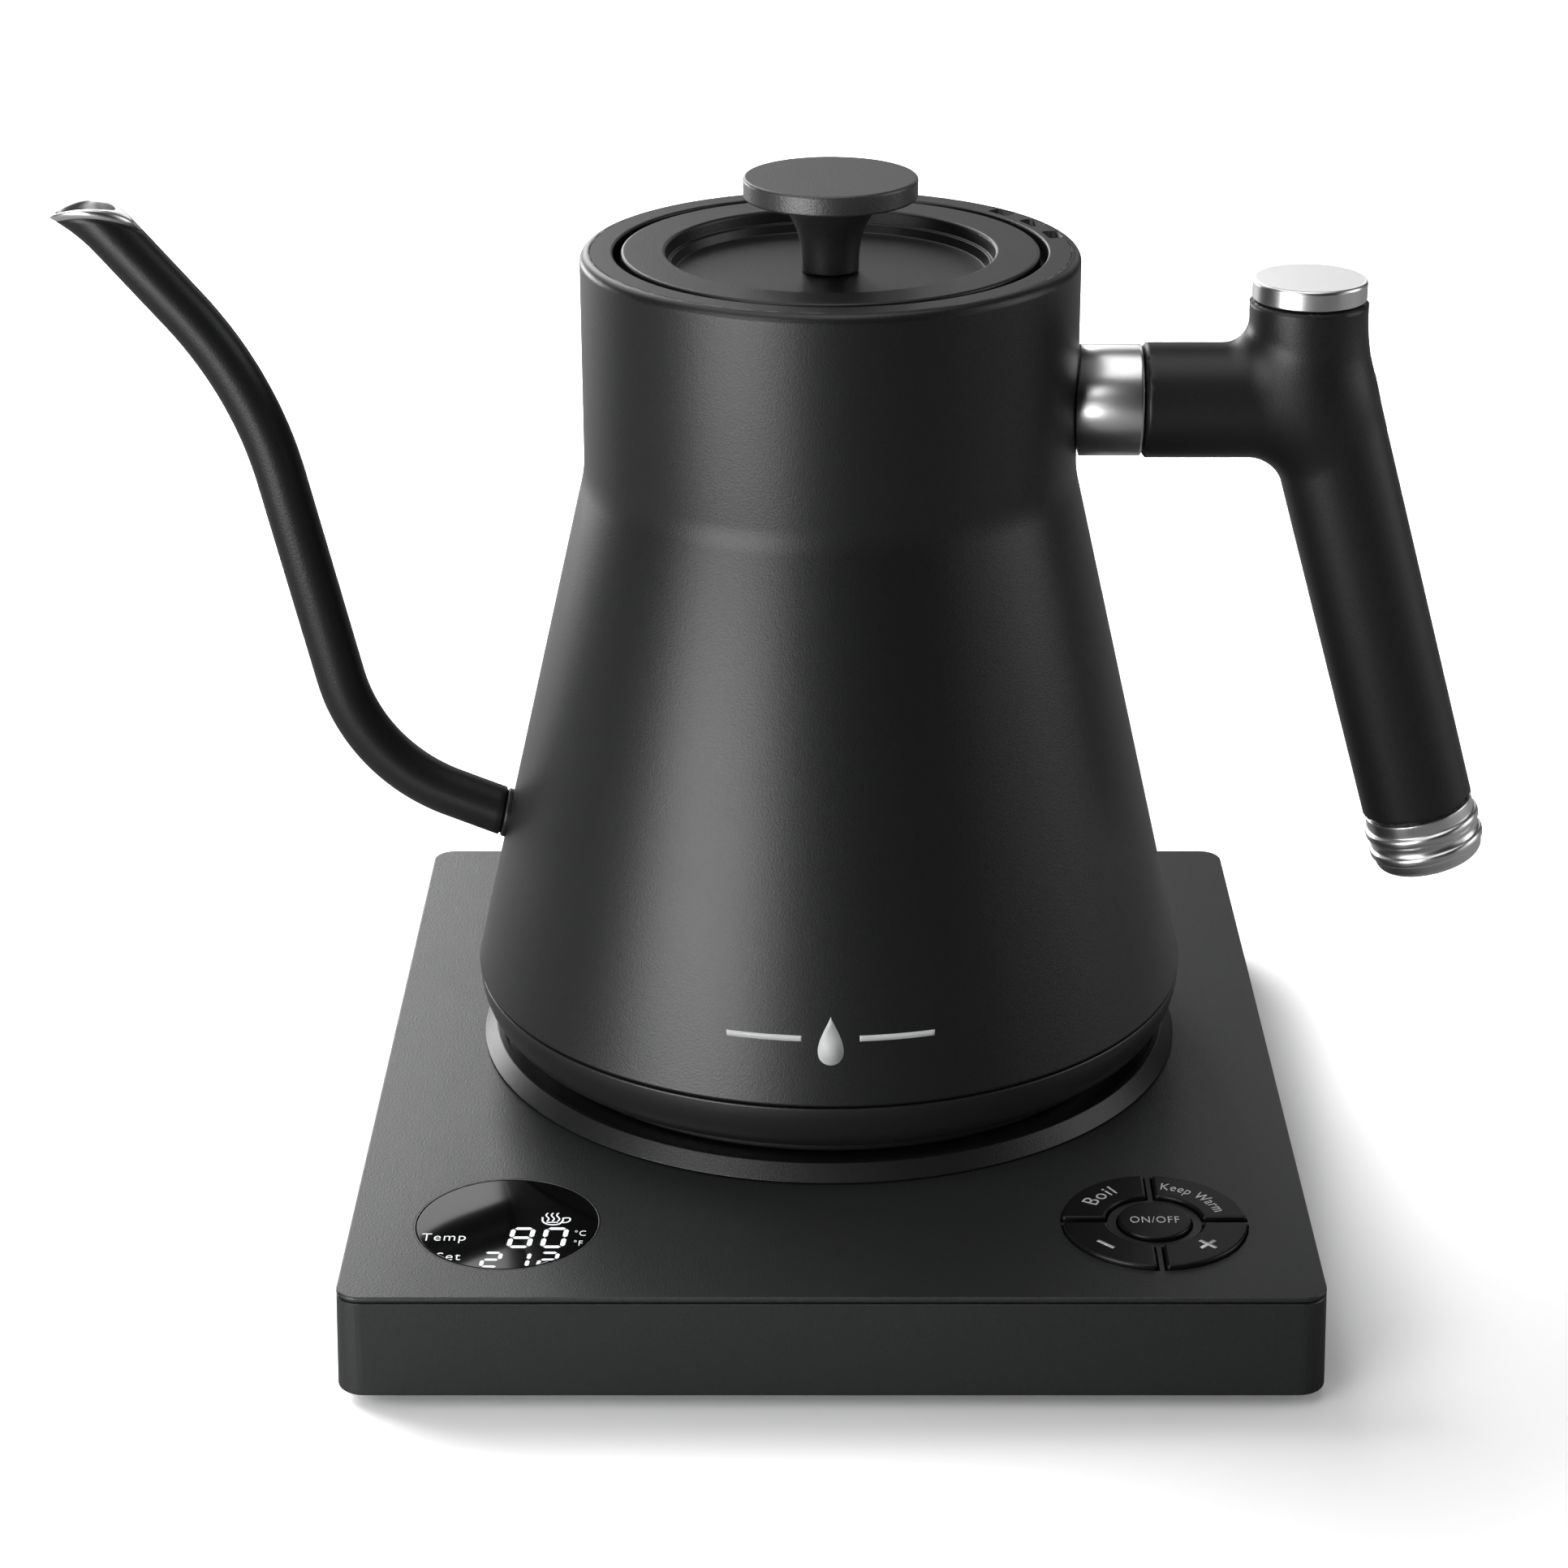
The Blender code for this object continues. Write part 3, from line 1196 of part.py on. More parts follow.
def make_lid(paint, plastic, rubber, parent):
    """The lid's top plate with its round recess, the skirt under it and the skirt's seal."""
    hole = KNOB_SCREW_RADIUS + SEAM
    floor = BODY_TOP - LID_RECESS_DEPTH
    step = BODY_TOP - LID_STEP_DEPTH
    rim = BODY_TOP - 1 * MM
    profile = [
        (hole, LID_BOTTOM),
        (hole, floor),
        (LID_STEP_RADIUS - 1 * MM, floor),
        (LID_STEP_RADIUS, floor + 0.5 * MM),
        (LID_STEP_RADIUS, step),
        (LID_RECESS_RADIUS - 1 * MM, step),
        (LID_RECESS_RADIUS - 0.9 * MM, rim),
        (LID_RECESS_RADIUS - 0.4 * MM, BODY_TOP - 0.2 * MM),
        (LID_RECESS_RADIUS + 0.3 * MM, BODY_TOP),
        (LID_RADIUS - LID_EDGE, BODY_TOP),
        (LID_RADIUS, BODY_TOP - LID_EDGE),
        (LID_RADIUS, LID_BOTTOM + LID_EDGE),
        (LID_RADIUS - LID_EDGE, LID_BOTTOM),
    ]
    piece("lid_top", turned(profile, 48), paint, parent, ring=True)
    top = LID_BOTTOM - SEAM
    inner = LID_SKIRT_RADIUS - LID_SKIRT_WALL
    profile = [
        (hole, top),
        (LID_SKIRT_RADIUS, top),
        (LID_SKIRT_RADIUS, SKIRT_BOTTOM),
        (inner, SKIRT_BOTTOM),
        (inner, top - SKIRT_ROOF),
        (hole, top - SKIRT_ROOF),
    ]
    piece("lid_skirt", turned(profile, 44), plastic, parent, ring=True)
    high = top - GASKET_DROP
    seal_in = LID_SKIRT_RADIUS + SEAM
    seal_out = LID_SKIRT_RADIUS + 10 * RUNNING - RUNNING
    middle = high - GASKET_HEIGHT / 2
    profile = [
        (seal_in, high),
        (seal_in, high - GASKET_HEIGHT),
        (seal_out - 0.8 * MM, high - GASKET_HEIGHT),
        (seal_out, middle),
        (seal_out - 0.8 * MM, high),
    ]
    piece("lid_gasket", turned(profile, 44), rubber, parent, ring=True)


def make_knob(paint, steel, parent):
    """The mushroom knob and the screw that holds it from inside the lid."""
    foot = BODY_TOP - LID_RECESS_DEPTH + SEAM
    top = BODY_TOP + KNOB_RISE
    under = top - KNOB_DISC
    bore = KNOB_SCREW_RADIUS + SEAM
    depth = foot + KNOB_SCREW_BITE
    profile = [(bore, depth + SEAM), (bore, foot), (KNOB_STEM_RADIUS, foot)]
    for step in range(1, 7):
        share = step / 6
        flare = (KNOB_FLARE_RADIUS - KNOB_STEM_RADIUS) * share**3.2
        profile.append((KNOB_STEM_RADIUS + flare, foot + (under - foot) * share))
    profile += [
        (KNOB_RADIUS - KNOB_EDGE, under),
        (KNOB_RADIUS, under + KNOB_EDGE),
        (KNOB_RADIUS, top - KNOB_EDGE),
        (KNOB_RADIUS - KNOB_EDGE, top),
    ]
    piece("lid_knob", turned(profile, 36), paint, parent)
    head_top = LID_BOTTOM - SEAM - SKIRT_ROOF - SEAM
    screw = [
        (KNOB_SCREW_HEAD, head_top - SCREW_HEAD_HEIGHT),
        (KNOB_SCREW_HEAD, head_top),
        (KNOB_SCREW_RADIUS, head_top),
        (KNOB_SCREW_RADIUS, depth),
    ]
    piece("lid_screw", turned(screw, 16), steel, parent)


def centre_on_origin(frames):
    """Slides the frames along X until the whole object's box is centred on x = 0."""
    bpy.context.view_layer.update()
    reach = []
    for item in bpy.context.scene.objects:
        if item.type == "MESH" and not item.hide_render:
            reach += [(item.matrix_world @ Vector(corner)).x for corner in item.bound_box]
    for frame in frames:
        frame.location.x -= (min(reach) + max(reach)) / 2


def main():
    for item in list(bpy.data.objects):
        bpy.data.objects.remove(item)

    base = add_empty("base_frame", (0, 0, 0))
    kettle = add_empty("kettle_axis", (0, KETTLE_SETBACK, BASE_TOP))

    paint = add_material("black_paint", (0.028, 0.029, 0.03), 0.5, 0.0)
    shell_paint = add_material("shell_paint", (0.028, 0.029, 0.03), 0.5, 0.0)
    grip_black = add_material("grip_black", (0.02, 0.02, 0.021), 0.5, 0.0)
    knob_steel = add_material("knob_steel", (0.42, 0.42, 0.43), 0.35, 1.0)
    key_plastic = add_material("key_plastic", (0.014, 0.014, 0.015), 0.35, 0.0)
    plastic = add_material("black_plastic", (0.02, 0.02, 0.021), 0.55, 0.0)
    steel = add_material("polished_steel", (0.78, 0.78, 0.79), 0.12, 1.0)
    brushed = add_material("inner_steel", (0.62, 0.62, 0.63), 0.32, 1.0)
    brass = add_material("contact_brass", (0.78, 0.58, 0.28), 0.3, 1.0)
    aluminium = add_material("cast_aluminium", (0.7, 0.7, 0.71), 0.45, 1.0)
    rubber = add_material("black_rubber", (0.03, 0.03, 0.03), 0.8, 0.0)
    silicone = add_material("grey_silicone", (0.45, 0.45, 0.46), 0.6, 0.0)
    board = add_material("circuit_board", (0.02, 0.16, 0.07), 0.45, 0.0)
    lens = add_material("display_glass", (0.006, 0.006, 0.007), 0.04, 0.0)

    make_panel(shell_paint, base)
    make_shell(shell_paint, base)
    make_cover(plastic, base)
    make_feet(rubber, base)
    make_base_screws(brushed, base)
    make_gland(rubber, base)
    make_display(lens, plastic, base)
    make_keys(key_plastic, base)
    make_switches(plastic, base)
    make_boards(board, base)
    make_plinth(plastic, kettle)
    make_coupler(plastic, brass, kettle)
    make_socket(plastic, kettle)
    make_body(paint, kettle)
    make_floor(brushed, aluminium, brushed, kettle)
    make_sensors(brushed, kettle)
    make_bottom_cover(plastic, brushed, kettle)
    make_spout(paint, steel, kettle)
    make_grip(grip_black, kettle)
    make_neck(steel, kettle)
    make_handle_fixings(brushed, plastic, kettle)
    make_handle_caps(steel, kettle)
    make_seat(plastic, kettle)
    make_lid(paint, plastic, silicone, kettle)
    make_knob(knob_steel, brushed, kettle)
    centre_on_origin((base, kettle))


main()
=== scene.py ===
"""Looks of the gooseneck kettle on its control base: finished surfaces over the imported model.

Lengths in the tables below are millimetres. Kettle pieces are laid out round the kettle's axis,
with height 0 on the base's top, and controls round the middle of their own group.
"""

import json
import math

import bmesh
import bpy
import numpy as np
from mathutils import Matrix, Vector


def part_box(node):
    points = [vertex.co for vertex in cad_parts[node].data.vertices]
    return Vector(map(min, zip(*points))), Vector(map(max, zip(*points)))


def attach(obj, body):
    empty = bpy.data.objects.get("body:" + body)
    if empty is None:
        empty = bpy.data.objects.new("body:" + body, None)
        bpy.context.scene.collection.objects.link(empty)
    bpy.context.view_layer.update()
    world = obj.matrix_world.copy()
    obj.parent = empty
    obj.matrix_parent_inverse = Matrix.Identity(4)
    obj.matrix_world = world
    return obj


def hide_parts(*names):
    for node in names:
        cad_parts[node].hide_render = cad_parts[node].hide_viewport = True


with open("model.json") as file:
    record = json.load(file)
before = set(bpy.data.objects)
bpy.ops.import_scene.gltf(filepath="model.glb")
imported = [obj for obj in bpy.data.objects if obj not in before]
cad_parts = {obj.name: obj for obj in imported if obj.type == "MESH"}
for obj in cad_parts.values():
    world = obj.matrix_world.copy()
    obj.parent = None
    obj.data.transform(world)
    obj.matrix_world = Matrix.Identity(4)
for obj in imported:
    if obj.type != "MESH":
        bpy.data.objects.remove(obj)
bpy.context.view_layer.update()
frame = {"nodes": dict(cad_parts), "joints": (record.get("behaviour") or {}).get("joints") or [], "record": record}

MM = 0.001
NODES = frame["nodes"]
JOINTS = {joint["name"]: joint for joint in frame["joints"]}


def node_middle(node):
    """The middle of a CAD node's box."""
    low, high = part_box(node)
    return (np.array(low) + np.array(high)) / 2


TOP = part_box("display_lens")[1].z
KETTLE = np.array([*JOINTS["kettle_turn"]["pos_m"][:2], TOP])
DISPLAY = np.array([*node_middle("display_lens")[:2], TOP])
KEYS = np.array([*node_middle("key_power")[:2], TOP])
KEY_TOP = (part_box("key_power")[1].z - TOP) / MM

# Vessel
NECK_R = 48.1
RIM_Z = 164.4
RIM_ROUNDING = 1.8
MOUTH_R = 41.7
WALL = 1.0
CONE_FOOT_R = 72.0
CONE_FOOT_Z = 17.3
KINK_Z = 121.0
UNDERSIDE_Z = 5.2

# Steam vents: rounded slots in the rim
VENT_ANGLES = np.radians([14.1, 26.9, 39.7])
VENT_R = 44.6
VENT_HALF_LENGTH = 2.7
VENT_HALF_WIDTH = 1.45
VENT_CORNER = 0.9
VENT_DEPTH = 8.0

# Plinth and lid
PLINTH_R = 71.5
PLINTH_HOLE_R = 16.9
LID_R = 40.2
LID_FOOT_Z = 158.6
LID_FLOOR_Z = 160.1
KNOB_TOP_Z = 178.5
KNOB_BORE_R = 2.2

# Handle
ARM_Z = 134.3
ARM_R = 11.2
ARM_START_X = 60.75
NECK_COLLAR_R = 10.85
NECK_COLLAR_END_X = 60.4
BOSS_X = 92.3
BOSS_R = 11.5
BOSS_TOP_Z = 154.5
BEND_Z = 145.5
BEND_R = 58.0
FILLET_R = 5.4
TILT = math.radians(15.8)
GRIP_LENGTH = 100.0
CAP_R = 11.05
CAP_TOP_Z = 158.7
PLUG_R = 5.9

# Spout
SPOUT_R = 4.9
SPOUT_BORE = 4.1
LEG_ANGLES = (math.radians(22), math.radians(77), math.radians(49.5))
LEG_LENGTHS = (30.9, 81.2)
BEND_RADII = (36.0, 80.0)
ROOT_Z = 46.9
LIP_Z = 170.6
LIP_BORE = 3.75
LIP_DEPTH = 1.6
COLLAR_LENGTH = 1.0
COLLAR_BORE = 4.5

# Controls
LENS_R = 17.0
LENS_CLEAR_R = 16.55
KEY_OUTER_R = 17.3
KEY_INNER_R = 9.2
KEY_SIDE = 0.88
KEY_CORNER = 0.6
KEY_EDGE = 0.45
KEY_FOOT = -2.0
POWER_KEY_R = 6.85

# Lettering: the font's size for a capital 1 high, and how much a letter's outline is drawn in
FONT_SIZE = 1.37
LETTER_THIN = 0.006
DISPLAY_THIN = 0.012
EMBLEM_Z = 30.0
EMBLEM_LEAN = math.atan(0.2311)


# Curves


def rounded(corners, closed=True, steps=8):
    """An outline through (x, y, radius) corners, each made the arc tangent to its sides."""
    parts = []
    last = len(corners) - 1
    for i, (x, y, radius) in enumerate(corners):
        corner = np.array([x, y], float)
        if radius == 0 or (not closed and i in (0, last)):
            parts.append(corner[None])
            continue
        before = np.array(corners[i - 1][:2], float) - corner
        after = np.array(corners[(i + 1) % len(corners)][:2], float) - corner
        before /= np.linalg.norm(before)
        after /= np.linalg.norm(after)
        half = math.acos(float(np.clip(before @ after, -1, 1))) / 2
        bisector = (before + after) / np.linalg.norm(before + after)
        centre = corner + bisector * radius / math.sin(half)
        cut = radius / math.tan(half)
        start = corner + before * cut - centre
        end = corner + after * cut - centre
        sweep = math.pi - 2 * half
        t = np.linspace(0, 1, steps + 1)[:, None]
        arc = (np.sin((1 - t) * sweep) * start + np.sin(t * sweep) * end) / math.sin(sweep)
        guard = 0.12 * radius
        parts.append((corner + before * (cut + guard))[None])
        parts.append(centre + arc)
        parts.append((corner + after * (cut + guard))[None])
    return np.concatenate(parts)


def smooth_curve(knots, per_span=6):
    """A Catmull-Rom curve: a cubic between two knots with the slopes of their neighbours."""
    points = np.array(knots, float)
    padded = np.concatenate([2 * points[:1] - points[1:2], points, 2 * points[-1:] - points[-2:-1]])
    a, b, c, d = padded[:-3], padded[1:-2], padded[2:-1], padded[3:]
    t = np.linspace(0, 1, per_span, endpoint=False)[:, None, None]
    curve = 0.5 * (
        2 * b + (c - a) * t + (2 * a - 5 * b + 4 * c - d) * t**2 + (3 * b - a - 3 * c + d) * t**3
    )
    return np.concatenate([curve.transpose(1, 0, 2).reshape(-1, points.shape[1]), points[-1:]])


# Meshes


def grid_faces(rows, columns, ring):
    """Quads of a grid whose columns close round and, for a ring, whose rows do too."""
    r, c = np.meshgrid(np.arange(rows if ring else rows - 1), np.arange(columns), indexing="ij")
    r, c = r.ravel(), c.ravel()
    below = (r + 1) % rows
    beside = (c + 1) % columns
    return np.stack(
        [r * columns + c, r * columns + beside, below * columns + beside, below * columns + c], 1
    )


def make_mesh(name, points, faces, body, material, nodes=(), welded=0.0):
    """A closed mesh from points in metres, its faces turned outwards, riding on a body."""
    mesh = bpy.data.meshes.new(name)
    mesh.from_pydata(points.tolist(), [], [list(face) for face in faces])
    build = bmesh.new()
    build.from_mesh(mesh)
    if welded:
        bmesh.ops.remove_doubles(build, verts=build.verts, dist=welded)
    bmesh.ops.recalc_face_normals(build, faces=build.faces)
    build.to_mesh(mesh)
    build.free()
    mesh.shade_smooth()
    mesh.materials.append(material)
    item = bpy.data.objects.new(name, mesh)
    bpy.context.scene.collection.objects.link(item)
    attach(item, body)
    if nodes:
        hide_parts(*nodes)
    return item


def grid_piece(name, grid, body, material, nodes=(), ring=False):
    """A piece from a grid of points in metres; rows that shrink to a point are welded shut."""
    rows, columns = grid.shape[:2]
    faces = grid_faces(rows, columns, ring).tolist()
    points = grid.reshape(-1, 3)
    if not ring:
        for row in (0, rows - 1):
            if np.ptp(grid[row], axis=0).max() > 1e-6:
                faces.append(list(range(row * columns, (row + 1) * columns)))
    return make_mesh(name, points, faces, body, material, nodes, welded=1e-7)


def lathe_grid(profile, angles):
    """Points at each radius and height of the profile, turned through each angle."""
    radius, height = profile[:, 0, None], profile[:, 1, None]
    return np.stack(
        [radius * np.cos(angles), radius * np.sin(angles), height + 0 * angles], axis=2
    )


def full_turn(count):
    """Evenly spaced angles round a circle."""
    return np.arange(count) * 2 * math.pi / count


def lathe(name, profile, body, material, nodes=(), ring=False, centre=KETTLE, count=160):
    """A piece turned about a vertical axis through a centre."""
    grid = lathe_grid(profile, full_turn(count)) * MM + centre
    return grid_piece(name, grid, body, material, nodes, ring)


def kettle_piece(name, grid, look, node, ring=False):
    """A piece of the kettle from a grid in millimetres from its middle, in place of a node."""
    grid_piece(name, grid * MM + KETTLE, "kettle", M[look], [node], ring)


def turned_to(grid, origin, along):
    """A grid laid out round Z, turned so that Z points along a direction in the XZ plane."""
    axis = np.array([along[0], 0.0, along[1]])
    side = np.array([axis[2], 0.0, -axis[0]])
    across = np.cross(axis, side)
    return grid @ np.stack([side, across, axis]) + origin


# Materials


class Nodes:
    """Shorthand for building a node tree."""

    def __init__(self, tree):
        self.tree = tree

    def add(self, kind, inputs=(), **settings):
        """A node with its settings, and its inputs given by name as values or sockets."""
        node = self.tree.nodes.new(kind)
        for key, value in settings.items():
            setattr(node, key, value)
        for key, value in dict(inputs).items():
            if isinstance(value, bpy.types.NodeSocket):
                self.tree.links.new(value, node.inputs[key])
            else:
                node.inputs[key].default_value = value
        return node

    def math(self, operation, *values):
        """The result of a sum over values or sockets."""
        return self.add("ShaderNodeMath", enumerate(values), operation=operation).outputs[0]

    def link(self, source, target):
        """A link between two sockets."""
        self.tree.links.new(source, target)


def new_group(name, inputs, outputs):
    """A shader node group: inputs are numbers with defaults, outputs have their kinds."""
    tree = bpy.data.node_groups.new(name, "ShaderNodeTree")
    for label, value in inputs.items():
        socket = tree.interface.new_socket(label, in_out="INPUT", socket_type="NodeSocketFloat")
        socket.default_value = value
    for label, kind in outputs:
        tree.interface.new_socket(label, in_out="OUTPUT", socket_type=kind)
    nodes = Nodes(tree)
    return tree, nodes, nodes.add("NodeGroupInput"), nodes.add("NodeGroupOutput")


def grain_group():
    """Fine powder-coat grain: speckle for colour and roughness, and a bump normal."""
    tree, nodes, start, end = new_group(
        "coat_grain",
        {"Grain Size": 0.35, "Speckle": 0.15, "Bump": 0.15, "Roughness": 0.45, "Smudge": 0.05},
        [
            ("Tint", "NodeSocketFloat"), ("Roughness", "NodeSocketFloat"),
            ("Normal", "NodeSocketVector"),
        ],
    )
    place = nodes.add("ShaderNodeTexCoord").outputs["Object"]
    scale = nodes.math("DIVIDE", 1000.0, start.outputs["Grain Size"])
    fine = nodes.add(
        "ShaderNodeTexNoise",
        {"Vector": place, "Scale": scale, "Detail": 2.0, "Roughness": 0.6},
    )
    broad = nodes.add("ShaderNodeTexNoise", {"Vector": place, "Scale": 22.0, "Detail": 3.0})
    off = nodes.math("SUBTRACT", fine.outputs["Fac"], 0.5)
    tint = nodes.math("MULTIPLY_ADD", off, start.outputs["Speckle"], 1.0)
    nodes.link(tint, end.inputs["Tint"])
    drift = nodes.math("SUBTRACT", broad.outputs["Fac"], 0.5)
    base, smudge = start.outputs["Roughness"], start.outputs["Smudge"]
    nodes.link(nodes.math("MULTIPLY_ADD", drift, smudge, base), end.inputs["Roughness"])
    bump = nodes.add(
        "ShaderNodeBump",
        {"Strength": start.outputs["Bump"], "Distance": 0.00013, "Height": fine.outputs["Fac"]},
    )
    nodes.link(bump.outputs["Normal"], end.inputs["Normal"])
    return tree


def polish_group():
    """Hairline polish of steel: faint lines that run round the height axis, and smudges."""
    tree, nodes, start, end = new_group(
        "steel_polish",
        {"Line Size": 0.12, "Roughness": 0.12, "Spread": 0.05, "Bump": 0.03},
        [("Roughness", "NodeSocketFloat"), ("Normal", "NodeSocketVector")],
    )
    place = nodes.add("ShaderNodeTexCoord").outputs["Object"]
    scale = nodes.math("DIVIDE", 1000.0, start.outputs["Line Size"])
    stretched = nodes.add("ShaderNodeMapping", {"Vector": place, "Scale": (0.04, 0.04, 1.0)})
    lines = nodes.add(
        "ShaderNodeTexNoise", {"Vector": stretched.outputs[0], "Scale": scale, "Detail": 3.0}
    )
    smudge = nodes.add("ShaderNodeTexNoise", {"Vector": place, "Scale": 90.0, "Detail": 4.0})
    both = nodes.math("ADD", lines.outputs["Fac"], smudge.outputs["Fac"])
    off = nodes.math("SUBTRACT", both, 1.0)
    base, spread = start.outputs["Roughness"], start.outputs["Spread"]
    nodes.link(nodes.math("MULTIPLY_ADD", off, spread, base), end.inputs["Roughness"])
    bump = nodes.add(
        "ShaderNodeBump",
        {"Strength": start.outputs["Bump"], "Distance": 0.00005, "Height": lines.outputs["Fac"]},
    )
    nodes.link(bump.outputs["Normal"], end.inputs["Normal"])
    return tree


GRAIN = grain_group()
POLISH = polish_group()


def new_material(name):
    """An empty material with its Principled shader."""
    material = bpy.data.materials.new(name)
    material.use_nodes = True
    return material, Nodes(material.node_tree), material.node_tree.nodes["Principled BSDF"]


def coated(name, colour, roughness, size, speckle, bump, smudge, specular=0.5):
    """A dark coat or moulding with grain."""
    material, nodes, shader = new_material(name)
    group = nodes.add(
        "ShaderNodeGroup",
        {
            "Grain Size": size, "Speckle": speckle, "Bump": bump, "Roughness": roughness,
            "Smudge": smudge,
        },
        node_tree=GRAIN,
    )
    tinted = nodes.add(
        "ShaderNodeVectorMath", {0: colour, "Scale": group.outputs["Tint"]}, operation="SCALE"
    )
    nodes.link(tinted.outputs[0], shader.inputs["Base Color"])
    nodes.link(group.outputs["Roughness"], shader.inputs["Roughness"])
    nodes.link(group.outputs["Normal"], shader.inputs["Normal"])
    shader.inputs["Specular IOR Level"].default_value = specular
    return material


def polished(name, colour, roughness, size, spread, bump):
    """Bare metal with hairlines and smudges."""
    material, nodes, shader = new_material(name)
    group = nodes.add(
        "ShaderNodeGroup",
        {"Line Size": size, "Roughness": roughness, "Spread": spread, "Bump": bump},
        node_tree=POLISH,
    )
    shader.inputs["Base Color"].default_value = (*colour, 1)
    shader.inputs["Metallic"].default_value = 1.0
    nodes.link(group.outputs["Roughness"], shader.inputs["Roughness"])
    nodes.link(group.outputs["Normal"], shader.inputs["Normal"])
    return material


def glowing(name, colour, strength):
    """A lit display mark: emission with a slight unevenness."""
    material, nodes, shader = new_material(name)
    place = nodes.add("ShaderNodeTexCoord").outputs["Object"]
    noise = nodes.add("ShaderNodeTexNoise", {"Vector": place, "Scale": 400.0})
    level = nodes.math("MULTIPLY_ADD", noise.outputs["Fac"], 0.2, 0.88)
    uneven = nodes.add("ShaderNodeVectorMath", {0: colour, "Scale": level}, operation="SCALE")
    shader.inputs["Base Color"].default_value = (0.02, 0.02, 0.02, 1)
    nodes.link(uneven.outputs[0], shader.inputs["Emission Color"])
    shader.inputs["Emission Strength"].default_value = strength
    return material


M = {
    "coat": coated("powder_coat", (0.0085, 0.009, 0.0088), 0.38, 0.42, 1.0, 0.3, 0.04),
    "shell": coated("base_coat", (0.017, 0.0184, 0.0179), 0.4, 0.42, 1.0, 0.5, 0.05, 0.7),
    "grip": coated("grip_moulding", (0.011, 0.0113, 0.0113), 0.42, 0.42, 0.8, 0.25, 0.04),
    "plastic": coated("black_moulding", (0.013, 0.013, 0.0133), 0.38, 0.4, 0.3, 0.08, 0.05, 0.65),
    "key": coated("key_moulding", (0.0055, 0.0058, 0.0058), 0.32, 0.5, 0.12, 0.02, 0.03, 0.3),
    "rubber": coated("black_rubber", (0.02, 0.02, 0.02), 0.75, 0.5, 0.3, 0.2, 0.05),
    "lens": coated("display_lens_gloss", (0.004, 0.004, 0.0042), 0.05, 2.0, 0.1, 0.0, 0.02, 0.12),
    "knob": coated("knob_coat", (0.034, 0.035, 0.035), 0.38, 0.45, 1.1, 0.5, 0.03, 0.9),
    "silicone": coated("grey_silicone", (0.42, 0.42, 0.43), 0.6, 1.2, 0.1, 0.05, 0.05),
    "board": coated("circuit_board", (0.02, 0.15, 0.06), 0.4, 2.0, 0.3, 0.1, 0.05),
    "print": coated("light_print", (0.6, 0.61, 0.61), 0.5, 0.4, 0.1, 0.02, 0.03),
    "steel": polished("polished_steel", (0.86, 0.86, 0.87), 0.3, 0.1, 0.08, 0.03),
    "plain_steel": polished("plain_steel", (0.58, 0.58, 0.59), 0.3, 0.15, 0.1, 0.08),
    "brass": polished("contact_brass", (0.75, 0.55, 0.26), 0.25, 0.2, 0.1, 0.05),
    "aluminium": polished("cast_aluminium", (0.66, 0.66, 0.67), 0.42, 0.5, 0.15, 0.15),
    "glow": glowing("display_glow", (0.93, 0.98, 1.0), 1.15),
}

SLOT_LOOKS = {
    "black_paint": "coat",
    "shell_paint": "shell",
    "key_plastic": "key",
    "black_plastic": "plastic",
    "grip_black": "grip",
    "polished_steel": "steel",
    "inner_steel": "plain_steel",
    "knob_steel": "knob",
    "contact_brass": "brass",
    "cast_aluminium": "aluminium",
    "black_rubber": "rubber",
    "grey_silicone": "silicone",
    "circuit_board": "board",
    "display_glass": "lens",
}


def dress_cad_nodes():
    """Gives every CAD node the look of its slot."""
    for part in frame["record"]["subparts"]:
        look = M[SLOT_LOOKS[part["material_slot"]]]
        for slot in NODES[part["node"]].material_slots:
            slot.material = look


# Vessel


def cone_radius(z):
    """The vessel's outer radius at a height."""
    share = np.clip((KINK_Z - np.asarray(z, float)) / (KINK_Z - CONE_FOOT_Z), 0, None)
    return NECK_R + (CONE_FOOT_R - NECK_R) * share


def in_vents(profile, angles):
    """Which points of the turned profile lie on the rim inside a vent's rounded rectangle."""
    radius, height = profile[:, 0, None], profile[:, 1, None]
    turn = np.broadcast_to(angles, (len(profile), len(angles)))
    along = np.abs(radius[..., None] * (turn[..., None] - VENT_ANGLES)).min(axis=2)
    end = np.maximum(along - (VENT_HALF_LENGTH - VENT_CORNER), 0)
    side = np.maximum(np.abs(radius - VENT_R) - (VENT_HALF_WIDTH - VENT_CORNER), 0)
    on_rim = (height > RIM_Z - 1.15) & (radius > VENT_R - RIM_ROUNDING)
    return (np.hypot(end, side) < VENT_CORNER) & on_rim


